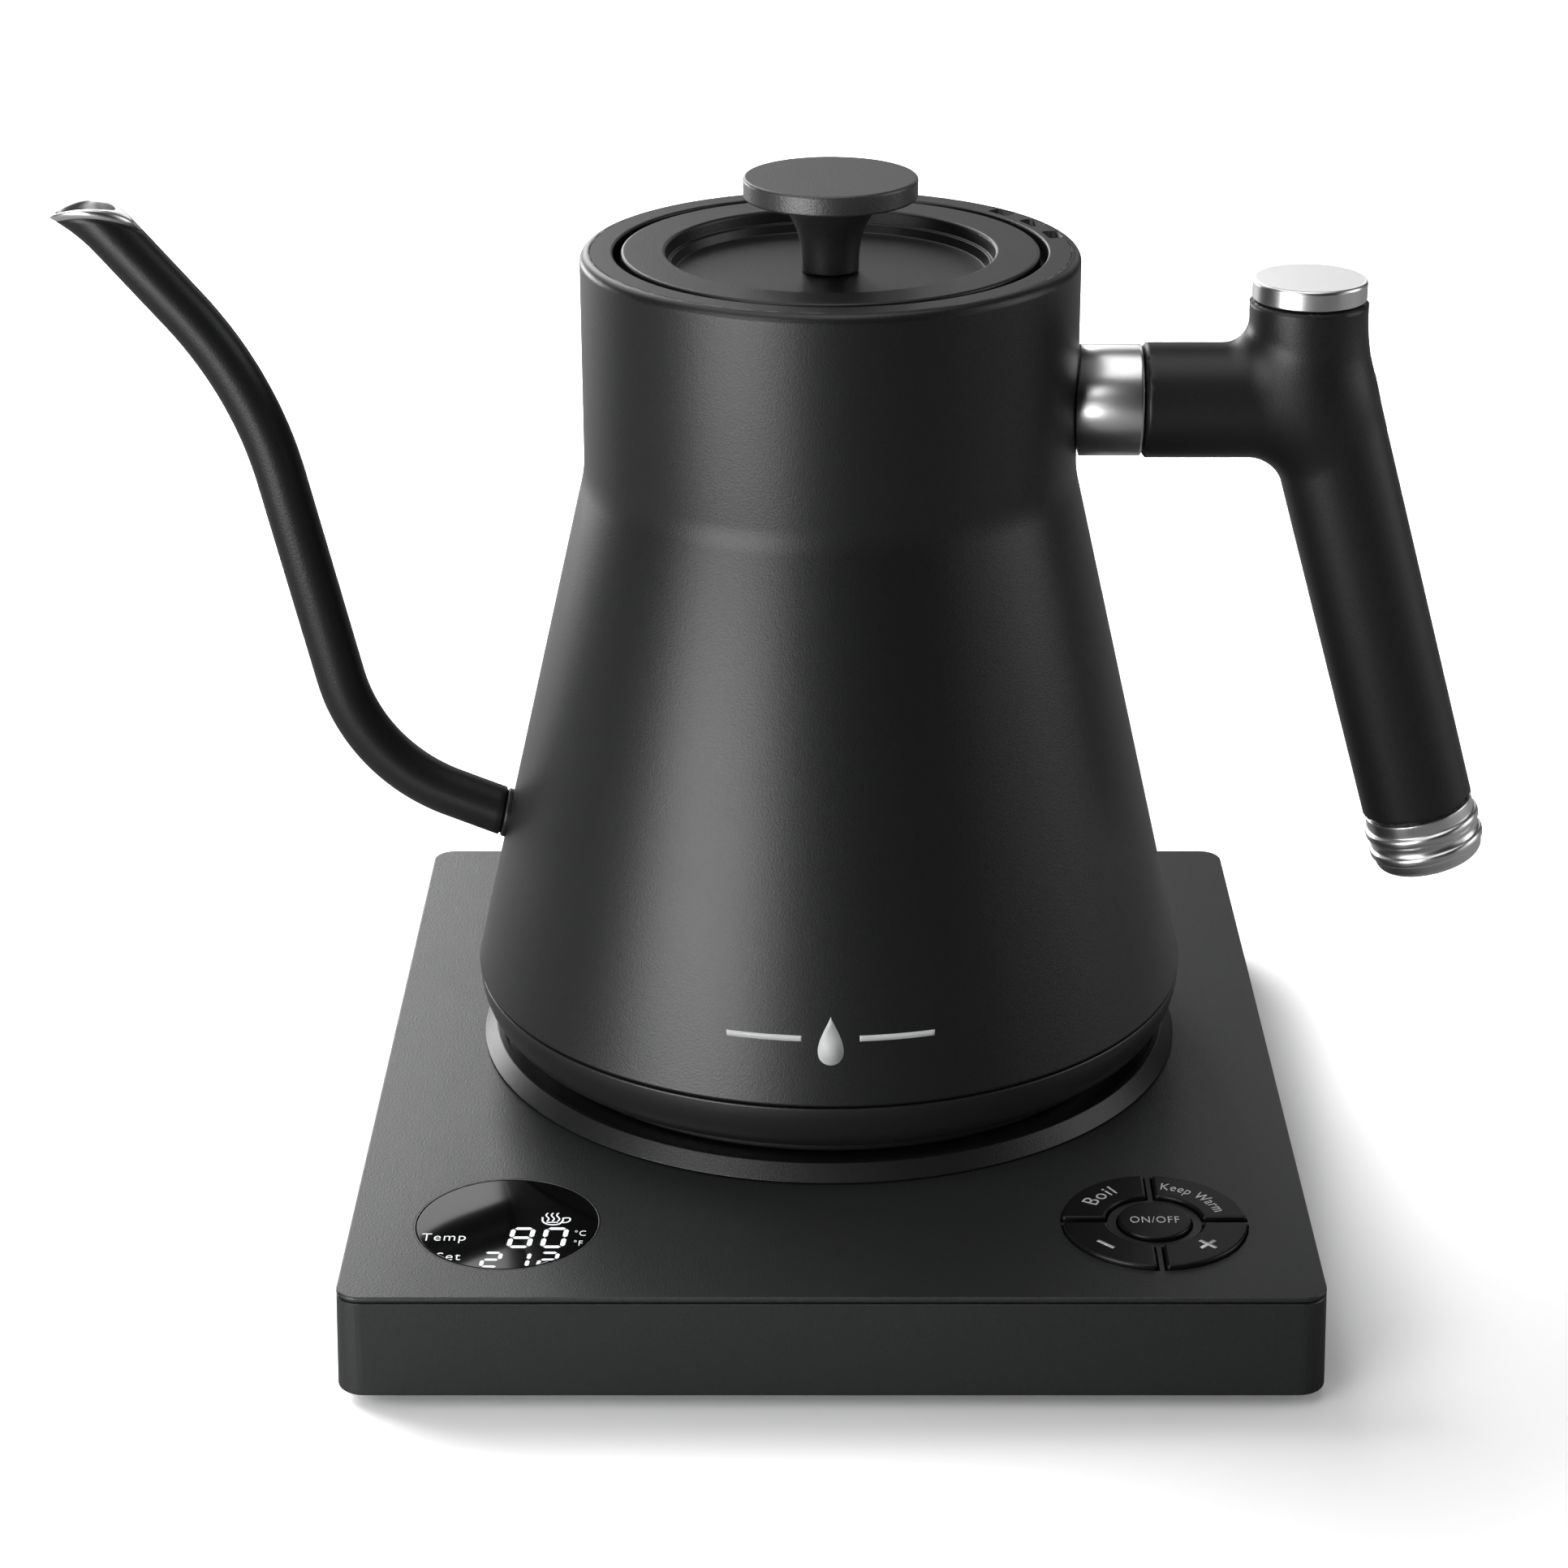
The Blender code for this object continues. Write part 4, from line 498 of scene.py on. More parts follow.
def make_vessel():
    """The vessel: its profile turned round the axis and pushed down inside each vent."""
    profile = rounded(
        [
            (71.2, 16.8, 0.0), (72.05, 16.8, 0.55), (NECK_R, KINK_Z, 24.0),
            (NECK_R, RIM_Z, RIM_ROUNDING), (MOUTH_R, RIM_Z, 0.5), (MOUTH_R, 158.9, 0.0),
            (MOUTH_R + 0.9, 158.9, 0.0), (MOUTH_R + 0.9, 163.2, 0.0),
            (NECK_R - WALL, 163.2, 1.2), (NECK_R - WALL, KINK_Z, 10.0), (70.6, 18.0, 0.0),
        ],
        steps=26,
    )
    fine = np.arange(VENT_R - RIM_ROUNDING, NECK_R - RIM_ROUNDING - 0.02, 0.1)
    start = np.flatnonzero((profile[:, 1] > RIM_Z - 1e-6) & (profile[:, 0] > 42.5))[-1]
    band = np.stack([fine[::-1], np.full(len(fine), RIM_Z)], 1)
    profile = np.concatenate([profile[: start + 1], band, profile[start + 1 :]])
    angles = np.radians(np.concatenate([np.arange(6, 48, 0.17), np.arange(48, 366, 1.5)]))
    grid = lathe_grid(profile, angles)
    grid[..., 2] -= VENT_DEPTH * in_vents(profile, angles)
    kettle_piece("vessel", grid, "coat", "kettle_body", ring=True)
    make_underside()


def make_underside():
    """The cover under the vessel: a quarter ellipse that runs in under a flat with a ring foot."""
    turn = np.linspace(0, math.pi / 2, 28)
    curve = np.stack([63.6 + 8.2 * np.cos(turn), 16.45 - 11.25 * np.sin(turn)], 1)
    under = rounded(
        [
            (63.6, UNDERSIDE_Z, 0.0), (62.5, UNDERSIDE_Z, 0.2), (62.5, 2.5, 0.6),
            (59.5, 2.5, 0.6), (59.5, UNDERSIDE_Z, 0.2), (20.4, UNDERSIDE_Z, 0.3),
            (20.4, UNDERSIDE_Z + 2.0, 0.0), (64.0, UNDERSIDE_Z + 2.0, 0.0), (69.4, 9.2, 0.0),
            (69.4, 16.45, 0.0),
        ],
        closed=False,
    )
    rim = rounded([(69.4, 16.45, 0), (71.7, 16.45, 0.35), (71.8, 15.6, 0)], closed=False)
    profile = np.concatenate([curve[3:-1], under, rim[1:-1]])
    grid = lathe_grid(profile, full_turn(160))
    kettle_piece(
        "vessel_underside", grid, "plastic", "kettle_bottom_cover", ring=True
    )


def make_plinth():
    """The plinth: a leaning outer side, a rounded lip and a shallow dish."""
    profile = rounded(
        [
            (PLINTH_HOLE_R, 0.3, 0.2), (PLINTH_R, 0.3, 0.15), (68.9, 3.4, 0.35),
            (67.5, 3.4, 0.3), (67.2, 2.2, 0.3), (PLINTH_HOLE_R, 2.2, 0.2),
        ]
    )
    lathe("plinth", profile, "base", M["coat"], ["plinth_ring"], ring=True)


def make_lid():
    """The lid's plate with its stepped recess, and the mushroom knob."""
    profile = rounded(
        [
            (KNOB_BORE_R, LID_FOOT_Z, 0.0), (KNOB_BORE_R, LID_FLOOR_Z, 0.25),
            (29.9, LID_FLOOR_Z, 0.3), (30.6, 161.8, 0.25), (31.3, 161.9, 0.3),
            (31.7, RIM_Z, 0.7), (LID_R, RIM_Z, 0.6), (LID_R, LID_FOOT_Z, 0.4),
        ]
    )
    lathe("lid_plate", profile, "lid", M["coat"], ["lid_top"], ring=True)
    u = np.linspace(0, 1, 44)
    flare = np.stack([5.5 + 5.0 * u**2.7 + 5.0 * u**30, 160.45 + 14.0 * u], 1)
    disc = rounded(
        [(15.5, 174.45, 0), (16.7, 174.6, 0.5), (16.75, KNOB_TOP_Z, 0.6), (0, KNOB_TOP_Z, 0)],
        closed=False,
    )
    bore = np.array([[0.0, 168.5], [KNOB_BORE_R, 168.5], [KNOB_BORE_R, 160.45]])
    profile = np.concatenate([bore, flare, disc[1:]])
    lathe("knob", profile, "lid", M["knob"], ["lid_knob"])


# Spout


def spout_layout():
    """The root point and the path lengths at which the bends and the legs after them begin."""
    root = np.array([-float(cone_radius(ROOT_Z)), ROOT_Z])
    turns = [abs(LEG_ANGLES[i + 1] - LEG_ANGLES[i]) for i in (0, 1)]
    trims = [BEND_RADII[i] * math.tan(turns[i] / 2) for i in (0, 1)]
    bend_a = LEG_LENGTHS[0] - trims[0]
    leg_b = bend_a + BEND_RADII[0] * turns[0]
    bend_b = leg_b + LEG_LENGTHS[1] - trims[0] - trims[1]
    leg_c = bend_b + BEND_RADII[1] * turns[1]
    return root, (bend_a, leg_b, bend_b, leg_c)


def spout_axis(length):
    """Points and headings of the centre line: straight, arc, straight, arc, straight."""
    root, (bend_a, leg_b, bend_b, leg_c) = spout_layout()
    length = np.asarray(length, float)
    a0, a1, a2 = LEG_ANGLES
    in_a = np.clip(length - bend_a, 0, leg_b - bend_a) / BEND_RADII[0]
    in_b = np.clip(length - bend_b, 0, leg_c - bend_b) / BEND_RADII[1]
    heading = a0 + in_a - in_b
    x = root[0] - np.minimum(length, bend_a) * math.cos(a0)
    z = root[1] + np.minimum(length, bend_a) * math.sin(a0)
    x = x - BEND_RADII[0] * (np.sin(a0 + in_a) - math.sin(a0))
    z = z + BEND_RADII[0] * (math.cos(a0) - np.cos(a0 + in_a))
    straight = np.clip(length - leg_b, 0, bend_b - leg_b)
    x = x - straight * math.cos(a1)
    z = z + straight * math.sin(a1)
    x = x - BEND_RADII[1] * (math.sin(a1) - np.sin(a1 - in_b))
    z = z + BEND_RADII[1] * (np.cos(a1 - in_b) - math.cos(a1))
    rest = np.maximum(length - leg_c, 0)
    return x - rest * math.cos(a2), z + rest * math.sin(a2), heading


def tip_length():
    """The path length at which the centre line reaches the lip's height."""
    start = spout_layout()[1][3]
    return start + (LIP_Z - float(spout_axis(start)[1])) / math.sin(LEG_ANGLES[2])


TIP = tip_length()
MOUTH_X = float(spout_axis(TIP)[0])


def spout_skin(length, turn, radius):
    """A circle round the centre line that flares on its outer side towards the tip."""
    x, z, heading = spout_axis(length)
    near = np.maximum(0, (length - (TIP - 5.0)) / 5.0)
    reach = radius + 0.42 * near**2 * np.maximum(0, np.cos(turn))
    out = reach * np.cos(turn)
    return np.stack(
        [x - out * np.sin(heading), radius * np.sin(turn), z - out * np.cos(heading)], -1
    )


def lip_level(x):
    """The lip's height: a slight slope with an arch over it."""
    across = (MOUTH_X - x) / 8.2
    return LIP_Z + math.tan(math.radians(4.6)) * (MOUTH_X - x) + 2.4 * (1 - across**2)


def solve_length(turn, radius, low, high, beyond):
    """The path length where each side of the spout passes a surface, by halving the interval."""
    low = np.full_like(turn, low)
    high = np.full_like(turn, high)
    for _ in range(40):
        middle = (low + high) / 2
        past = beyond(spout_skin(middle, turn, radius))
        high = np.where(past, middle, high)
        low = np.where(past, low, middle)
    return (low + high) / 2


def mouth_length(turn, radius, drop):
    """Where the spout's sides meet the lip, dropped a little."""
    return solve_length(
        turn, radius, TIP - 15, TIP + 15, lambda p: p[..., 2] > lip_level(p[..., 0]) - drop
    )


def root_length(turn, radius):
    """Where the spout's sides leave the vessel."""
    return solve_length(
        turn, radius, -15.0, 15.0, lambda p: np.hypot(p[..., 0], p[..., 1]) > cone_radius(p[..., 2])
    )


def sweep(turn, radius, start, end, shares):
    """Rings of the spout's surface between two edges, spaced by shares of the way."""
    span = start + shares[:, None] * (end - start)
    return spout_skin(span, np.broadcast_to(turn, span.shape), radius)


def ring_of(turn, radius, length):
    """One ring of the spout's surface."""
    return spout_skin(length, turn, radius)[None]


def make_spout():
    """The coated tube, the collar at its root and the bare steel lip."""
    turn = full_turn(72)
    root = root_length(turn, SPOUT_R)
    inner_root = root_length(turn, SPOUT_BORE)
    end = mouth_length(turn, SPOUT_R, LIP_DEPTH)
    inner_end = mouth_length(turn, SPOUT_BORE, LIP_DEPTH)
    shares = np.linspace(0, 1, 130)
    outside = sweep(turn, SPOUT_R, root + COLLAR_LENGTH + 0.6, end - 0.12, shares)
    lead = ring_of(turn, SPOUT_R - 0.25, root + COLLAR_LENGTH + 0.35)
    thirds = np.linspace(0, 1, 3)
    sleeve = sweep(turn, COLLAR_BORE - 0.1, root + COLLAR_LENGTH + 0.3, root + 0.2, thirds)[::-1]
    tail = ring_of(turn, SPOUT_R - 0.12, end)
    inside = sweep(turn, SPOUT_BORE, inner_end, inner_root + 0.5, shares)
    grid = np.concatenate([sleeve, lead, outside, tail, inside])
    kettle_piece("spout", grid, "coat", "spout_tube", ring=True)
    grid = np.concatenate(
        [
            ring_of(turn, SPOUT_R - 0.1, root - 0.25),
            sweep(turn, SPOUT_R, root - 0.1, root + COLLAR_LENGTH - 0.2, np.linspace(0, 1, 4)),
            ring_of(turn, SPOUT_R - 0.2, root + COLLAR_LENGTH),
            sweep(turn, COLLAR_BORE, root + COLLAR_LENGTH - 0.05, root - 0.25, thirds),
        ]
    )
    kettle_piece("spout_root_collar", grid, "coat", "spout_collar", ring=True)
    make_lip(turn, end)


def make_lip(turn, end):
    """The steel lip: a half circle over the tube's wall, then a thin lining down the bore."""
    half_wall = 0.5 * (SPOUT_R - LIP_BORE)
    rows = [ring_of(turn, SPOUT_R - 0.02, end + 0.05)]
    for step in np.linspace(0, math.pi, 9):
        radius = SPOUT_R - half_wall + half_wall * math.cos(step)
        rows.append(ring_of(turn, radius, mouth_length(turn, radius, 0.32 * (1 - math.sin(step)))))
    inner = mouth_length(turn, LIP_BORE, 1.0)
    foot = np.full_like(inner, TIP - 9)
    rows.append(sweep(turn, LIP_BORE, inner, foot, np.linspace(0, 1, 12)))
    rows.append(ring_of(turn, LIP_BORE + 0.2, foot))
    rows.append(ring_of(turn, LIP_BORE + 0.2, mouth_length(turn, LIP_BORE, 2.0)))
    grid = np.concatenate(rows)
    kettle_piece("spout_mouth", grid, "steel", "spout_lip", ring=True)


# Handle


def grip_point(distance):
    """A point (x, z) on the grip's axis, that far below the bend."""
    return np.array([BOSS_X + distance * math.sin(TILT), BEND_Z - distance * math.cos(TILT)])


def bar_field(p):
    """Distance to a bar round a vertical line, an arc and a slanted line that run on smoothly."""
    centre_x, centre_z = BOSS_X + BEND_R, BEND_Z + BEND_R * math.tan(TILT / 2)
    dx, dz = p[:, 0] - centre_x, p[:, 2] - centre_z
    angle = np.clip(np.arctan2(-dz, -dx), 0, TILT)
    ax = centre_x - BEND_R * np.cos(angle)
    az = centre_z - BEND_R * np.sin(angle)
    run = (p[:, 0] - ax) * np.sin(angle) - (p[:, 2] - az) * np.cos(angle)
    run = np.where(angle <= 0, np.minimum(run, 0), np.where(angle >= TILT, np.maximum(run, 0), 0))
    ax = ax + run * np.sin(angle)
    az = az - run * np.cos(angle)
    gone = np.clip((BOSS_TOP_Z - az) / 100, 0, 1)
    radius = BOSS_R - 0.25 * np.minimum(gone / 0.2, 1) - 0.15 * gone
    return np.sqrt((p[:, 0] - ax) ** 2 + p[:, 1] ** 2 + (p[:, 2] - az) ** 2) - radius


def arm_field(p):
    """Distance to the level arm, ended inside the boss."""
    past = np.maximum(p[:, 0] - (BOSS_X - 1.0), 0)
    return np.sqrt(p[:, 1] ** 2 + (p[:, 2] - ARM_Z) ** 2 + past**2) - ARM_R


def cut_by(field, plane, edge):
    """The part of a solid behind a plane, with a rounded edge."""
    a, b = np.maximum(field + edge, 0), np.maximum(plane + edge, 0)
    return np.minimum(np.maximum(field, plane), -edge) + np.hypot(a, b)


def handle_field(p):
    """Bar and arm joined with a round fillet, ends cut flat."""
    bar, arm = bar_field(p), arm_field(p)
    u, v = np.maximum(FILLET_R - bar, 0), np.maximum(FILLET_R - arm, 0)
    joined = np.maximum(FILLET_R, np.minimum(bar, arm)) - np.hypot(u, v)
    joined = cut_by(joined, p[:, 2] - BOSS_TOP_Z, 0.35)
    joined = cut_by(joined, ARM_START_X - p[:, 0], 0.3)
    foot = grip_point(GRIP_LENGTH)
    past = (p[:, 0] - foot[0]) * math.sin(TILT) - (p[:, 2] - foot[1]) * math.cos(TILT)
    return cut_by(joined, past, 0.4)


def handle_start():
    """A voxel mesh of three plain bars, close to the handle's shape."""
    build = bmesh.new()
    angles = full_turn(48)
    ends = grip_point(GRIP_LENGTH - 0.4)
    sticks = [
        ((BOSS_X, BOSS_TOP_Z - 0.4), (BOSS_X, BEND_Z - 8), 11.3),
        ((BOSS_X + 0.8, BEND_Z + 6), tuple(ends), 11.0),
        ((ARM_START_X + 0.35, ARM_Z), (BOSS_X, ARM_Z), 11.0),
    ]
    for (x0, z0), (x1, z1), radius in sticks:
        way = np.array([x1 - x0, z1 - z0])
        length = np.linalg.norm(way)
        rings = np.stack([radius * np.cos(angles), radius * np.sin(angles), 0 * angles], 1)
        grid = np.stack([rings, rings + [0, 0, length]])
        grid = turned_to(grid, np.array([x0, 0, z0]), way / length)
        rows = [[build.verts.new(point) for point in ring] for ring in grid]
        build.faces.new(rows[0])
        build.faces.new(reversed(rows[1]))
        for i in range(len(angles)):
            j = (i + 1) % len(angles)
            build.faces.new((rows[0][j], rows[0][i], rows[1][i], rows[1][j]))
    bmesh.ops.recalc_face_normals(build, faces=build.faces)
    mesh = bpy.data.meshes.new("handle_start")
    build.to_mesh(mesh)
    build.free()
    item = bpy.data.objects.new("handle_start", mesh)
    bpy.context.scene.collection.objects.link(item)
    remesh = item.modifiers.new("voxels", "REMESH")
    remesh.mode = "VOXEL"
    remesh.voxel_size = 0.75
    shaped = item.evaluated_get(bpy.context.evaluated_depsgraph_get()).to_mesh()
    points = np.zeros(len(shaped.vertices) * 3)
    shaped.vertices.foreach_get("co", points)
    faces = [tuple(face.vertices) for face in shaped.polygons]
    bpy.data.objects.remove(item)
    return points.reshape(-1, 3), faces


def make_handle():
    """The grip: the voxel mesh moved along its field's slope until it lies on the surface."""
    points, faces = handle_start()
    step = 0.02
    for _ in range(12):
        value = handle_field(points)
        slope = np.stack(
            [
                handle_field(points + step * axis) - handle_field(points - step * axis)
                for axis in np.eye(3)
            ],
            1,
        ) / (2 * step)
        square = np.maximum((slope**2).sum(1), 0.25)
        points = points - (np.clip(value, -1, 1) / square)[:, None] * slope
    make_mesh(
        "grip", points * MM + KETTLE, faces, "kettle", M["grip"], ["handle_grip"]
    )


def make_handle_metal():
    """The neck collar, the flat cap, the ribbed cap and the round plug."""
    angles = full_turn(96)
    y, z = NECK_COLLAR_R * np.cos(angles), NECK_COLLAR_R * np.sin(angles)
    saddle = np.sqrt((NECK_R + 0.3) ** 2 - y**2)
    rows = [np.stack([saddle + 1.5, 0.6 * y, 0.6 * z], 1)]
    rows.append(np.stack([saddle, 0.985 * y, 0.985 * z], 1))
    rows.append(np.stack([saddle + 0.2, y, z], 1))
    for back, share in ((0.7, 1.0), (0.3, 1.0), (0.08, 0.985), (0.0, 0.96), (0.0, 0.3)):
        rows.append(np.stack([0 * y + NECK_COLLAR_END_X - back, share * y, share * z], 1))
    grid = np.stack(rows) + [0, 0, ARM_Z]
    kettle_piece("neck_collar", grid, "steel", "handle_neck")
    cap = rounded(
        [
            (0, BOSS_TOP_Z - 3.5, 0), (7.4, BOSS_TOP_Z - 3.5, 0), (7.4, BOSS_TOP_Z + 0.3, 0),
            (CAP_R, BOSS_TOP_Z + 0.3, 0.25), (CAP_R, CAP_TOP_Z, 0.7), (0, CAP_TOP_Z, 0),
        ],
        closed=False,
    )
    grid = lathe_grid(cap, full_turn(128)) + [BOSS_X, 0, 0]
    kettle_piece("boss_cap", grid, "steel", "handle_top_cap")
    ribs = smooth_curve(
        [
            *[(10.75, 0.3), (10.9, 0.55), (10.9, 2.5), (10.98, 2.9)],
            *[(11.5, 3.4), (11.62, 4.1), (11.5, 4.8), (11.0, 5.3), (10.8, 6.2)],
            *[(11.0, 7.1), (11.5, 7.6), (11.62, 8.3), (11.5, 9.0), (11.1, 9.5)],
            *[(10.95, 10.3), (10.75, 11.1), (10.2, 11.8), (9.4, 12.05)],
        ]
    )
    ends = np.array([[0, -3.5], [7.3, -3.5], [7.3, 0.3]])
    profile = np.concatenate([ends, ribs, [[0, 12.05]]])
    foot = grip_point(GRIP_LENGTH)
    grid = turned_to(
        lathe_grid(profile, full_turn(128)),
        np.array([foot[0], 0, foot[1]]),
        np.array([math.sin(TILT), -math.cos(TILT)]),
    )
    kettle_piece("grip_cap", grid, "steel", "handle_end_cap")
    make_plug()


def make_plug():
    """The plug: a disc whose face follows the grip's outer side a hair proud of it."""
    angles = full_turn(64)
    shares = np.array([0.0, 0.25, 0.5, 0.75, 0.93, 1.0, 1.0])
    y = PLUG_R * shares[:, None] * np.cos(angles)
    z = ARM_Z + PLUG_R * shares[:, None] * np.sin(angles)
    low = np.full(y.size, BOSS_X + 4.0)
    high = np.full(y.size, BOSS_X + 30.0)
    for _ in range(30):
        middle = (low + high) / 2
        outside = handle_field(np.stack([middle, y.ravel(), z.ravel()], 1)) > 0
        high = np.where(outside, middle, high)
        low = np.where(outside, low, middle)
    x = ((low + high) / 2).reshape(y.shape)
    x += np.array([0.06, 0.06, 0.06, 0.06, 0.05, -0.08, -0.5])[:, None]
    grid = np.stack([x, y, z], 2)
    kettle_piece("grip_plug", grid, "grip", "handle_plug")


# Keys


def key_edges(rounding, steps=6):
    """Points and outward normals round a quarter ring shrunk by its corner radius."""
    outer, inner, side = KEY_OUTER_R - rounding, KEY_INNER_R + rounding, KEY_SIDE + rounding
    outer_cut, inner_cut = math.asin(side / outer), math.asin(side / inner)
    out = np.linspace(outer_cut, math.pi / 2 - outer_cut, 40)
    back = np.linspace(math.pi / 2 - inner_cut, inner_cut, 28)
    points, normals = [], []

    def turn_corner(point, start, end):
        spread = np.linspace(start, end, steps + 2)[1:-1]
        points.append(np.repeat([point], steps, 0))
        normals.append(np.stack([np.cos(spread), np.sin(spread)], 1))

    def arc(radius, angles, sign):
        ray = np.stack([np.cos(angles), np.sin(angles)], 1)
        points.append(radius * ray)
        normals.append(sign * ray)

    arc(outer, out, 1)
    turn_corner(points[-1][-1], out[-1], math.pi)
    points.append(np.array([[side, outer * math.sin(out[-1])], [side, inner * math.sin(back[0])]]))
    normals.append(np.array([[-1.0, 0.0], [-1.0, 0.0]]))
    turn_corner(points[-1][-1], math.pi, math.pi + back[0])
    arc(inner, back, -1)
    turn_corner(points[-1][-1], math.pi + back[-1], 1.5 * math.pi)
    points.append(np.array([[inner * math.cos(back[-1]), side], [outer * math.cos(out[0]), side]]))
    normals.append(np.array([[0.0, -1.0], [0.0, -1.0]]))
    turn_corner(points[-1][-1], 1.5 * math.pi, 2 * math.pi + out[0])
    return np.concatenate(points), np.concatenate(normals)


def key_levels():
    """(grow, height) pairs up a key's side, over its rounded edge."""
    turn = np.linspace(0, math.pi / 2, 7)
    grow = KEY_EDGE * (np.cos(turn) - 1)
    height = KEY_TOP + KEY_EDGE * (np.sin(turn) - 1)
    over = [[-KEY_EDGE - 0.1, KEY_TOP]]
    return np.concatenate([[[0, KEY_FOOT], [0, 0.0]], np.stack([grow, height], 1), over])


KEY_NAMES = ("keep_warm", "boil", "minus", "plus")


def key_piece(name, grid):
    """A key's top from a grid in millimetres, in place of the CAD key."""
    button, node = "button_" + name, "key_" + name
    grid_piece("key_top_" + name, grid * MM + KEYS, button, M["key"], [node])


def make_keys():
    """Four quarter-ring keys and the round one, their sides rounded over into flat tops."""
    points, normals = key_edges(KEY_CORNER)
    for quarter, name in enumerate(KEY_NAMES):
        a = math.pi / 2 * quarter
        spin = np.array([[math.cos(a), math.sin(a)], [-math.sin(a), math.cos(a)]])
        rows = []
        for grow, z in key_levels():
            flat = (points + normals * (KEY_CORNER + grow)) @ spin
            rows.append(np.column_stack([flat, np.full(len(flat), z)]))
        key_piece(name, np.stack(rows))
    profile = [[[0, KEY_FOOT]], key_levels() + [POWER_KEY_R, 0], [[0, KEY_TOP]]]
    key_piece("power", lathe_grid(np.concatenate(profile), full_turn(96)))


# Lettering and signs


def glyphs(text, size, spacing=1.0, narrow=1.0, thin=0.0):
    """Flat letters as points and faces in millimetres."""
    curve = bpy.data.curves.new("letters", "FONT")
    curve.body = text
    curve.size = size * FONT_SIZE
    curve.space_character = spacing
    curve.offset = -thin * size
    curve.extrude = 0.03
    curve.resolution_u = 4
    item = bpy.data.objects.new("letters", curve)
    bpy.context.scene.collection.objects.link(item)
    shaped = item.evaluated_get(bpy.context.evaluated_depsgraph_get()).to_mesh()
    points = np.zeros(len(shaped.vertices) * 3)
    shaped.vertices.foreach_get("co", points)
    faces = [tuple(face.vertices) for face in shaped.polygons]
    bpy.data.objects.remove(item)
    points = points.reshape(-1, 3)
    points[:, 0] -= (points[:, 0].min() + points[:, 0].max()) / 2
    points[:, 0] *= narrow
    points[:, 1] -= size / 2
    return points, faces


def bars(segments, width, height=0.03):
    """Flat bars with pointed ends between pairs of points, as one set of points and faces."""
    points, faces = [], []
    for start, end in segments:
        start, end = np.array(start, float), np.array(end, float)
        way = (end - start) / np.linalg.norm(end - start)
        side = np.array([-way[1], way[0]]) * width / 2
        tip = way * width / 2
        left = [start + tip + side, end - tip + side]
        right = [end - tip - side, start + tip - side]
        ring = [start, *left, end, *right]
        base = len(points)
        points += [(*p, -height) for p in ring] + [(*p, height) for p in ring]
        faces += [tuple(base + i for i in range(5, -1, -1)), tuple(base + 6 + i for i in range(6))]
        for i in range(6):
            j = (i + 1) % 6
            faces.append((base + i, base + j, base + 6 + j, base + 6 + i))
    return np.array(points), faces


def wrapped(points, radius, middle):
    """Letters laid on an arc: along the text becomes an angle, up becomes outwards."""
    angle = math.radians(middle) - points[:, 0] / radius
    reach = radius + points[:, 1]
    return np.column_stack([reach * np.cos(angle), reach * np.sin(angle), points[:, 2]])


def placed(points, x, y, turn=0.0):
    """Points turned and moved in the plane."""
    a = math.radians(turn)
    spin = np.array([[math.cos(a), math.sin(a)], [-math.sin(a), math.cos(a)]])
    return np.column_stack([points[:, :2] @ spin + [x, y], points[:, 2]])


def stroke(points, width, height=0.03):
    """A flat line of even width through points."""
    line = np.array(points, float)
    way = np.gradient(line, axis=0)
    way /= np.linalg.norm(way, axis=1)[:, None]
    side = np.column_stack([-way[:, 1], way[:, 0]]) * width / 2
    left, right = line + side, line - side
    count = len(line)
    levels = [(edge, z) for z in (-height, height) for edge in (left, right)]
    points = np.concatenate([np.column_stack([edge, np.full(count, z)]) for edge, z in levels])
    faces = []
    for i in range(count - 1):
        a, b, c, d = i, count + i, 2 * count + i, 3 * count + i
        faces += [(a, a + 1, b + 1, b), (c, d, d + 1, c + 1)]
        faces += [(a, c, c + 1, a + 1), (b, b + 1, d + 1, d)]
    faces += [(0, count, 3 * count, 2 * count)]
    last = count - 1
    faces += [(last, 2 * count + last, 3 * count + last, count + last)]
    return points, faces


def joined(shapes):
    """Several point-and-face sets as one."""
    points, faces, base = [], [], 0
    for more, quads in shapes:
        points.append(more)
        faces += [tuple(base + i for i in quad) for quad in quads]
        base += len(more)
    return np.concatenate(points), faces


def mark(name, shape, origin, height, body, look):
    """A thin raised mark at a height over an origin."""
    points, faces = shape
    points = points + [0, 0, height]
    return make_mesh(name, points * MM + origin, faces, body, M[look])


def key_mark(name, shape, key):
    """A light print on a key's top."""
    mark(name, shape, KEYS, KEY_TOP + 0.01, "button_" + key, "print")


def make_key_marks():
    """The words and signs on the keys."""
    points, faces = glyphs("Boil", 3.3, 1.15, 1.0, LETTER_THIN)
    key_mark("word_boil", (wrapped(points, 13.5, 137), faces), "boil")
    points, faces = glyphs("Keep Warm", 2.6, 1.1, 0.8, LETTER_THIN)
    key_mark("word_keep_warm", (wrapped(points, 13.1, 47), faces), "keep_warm")
    key_mark("word_power", glyphs("ON/OFF", 2.45, 1.1, 0.72, LETTER_THIN), "power")
    points, faces = stroke([(-1.95, 0), (0, 0), (1.95, 0)], 0.75)
    key_mark("sign_minus", (placed(points, -9.8, -9.3, -45), faces), "minus")
    upright = placed(points, 0, 0, 90) + [0, 0, 0.004]
    points, faces = joined([(points, faces), (upright, faces)])
    key_mark("sign_plus", (placed(points, 9.1, -9.3, 45), faces), "plus")


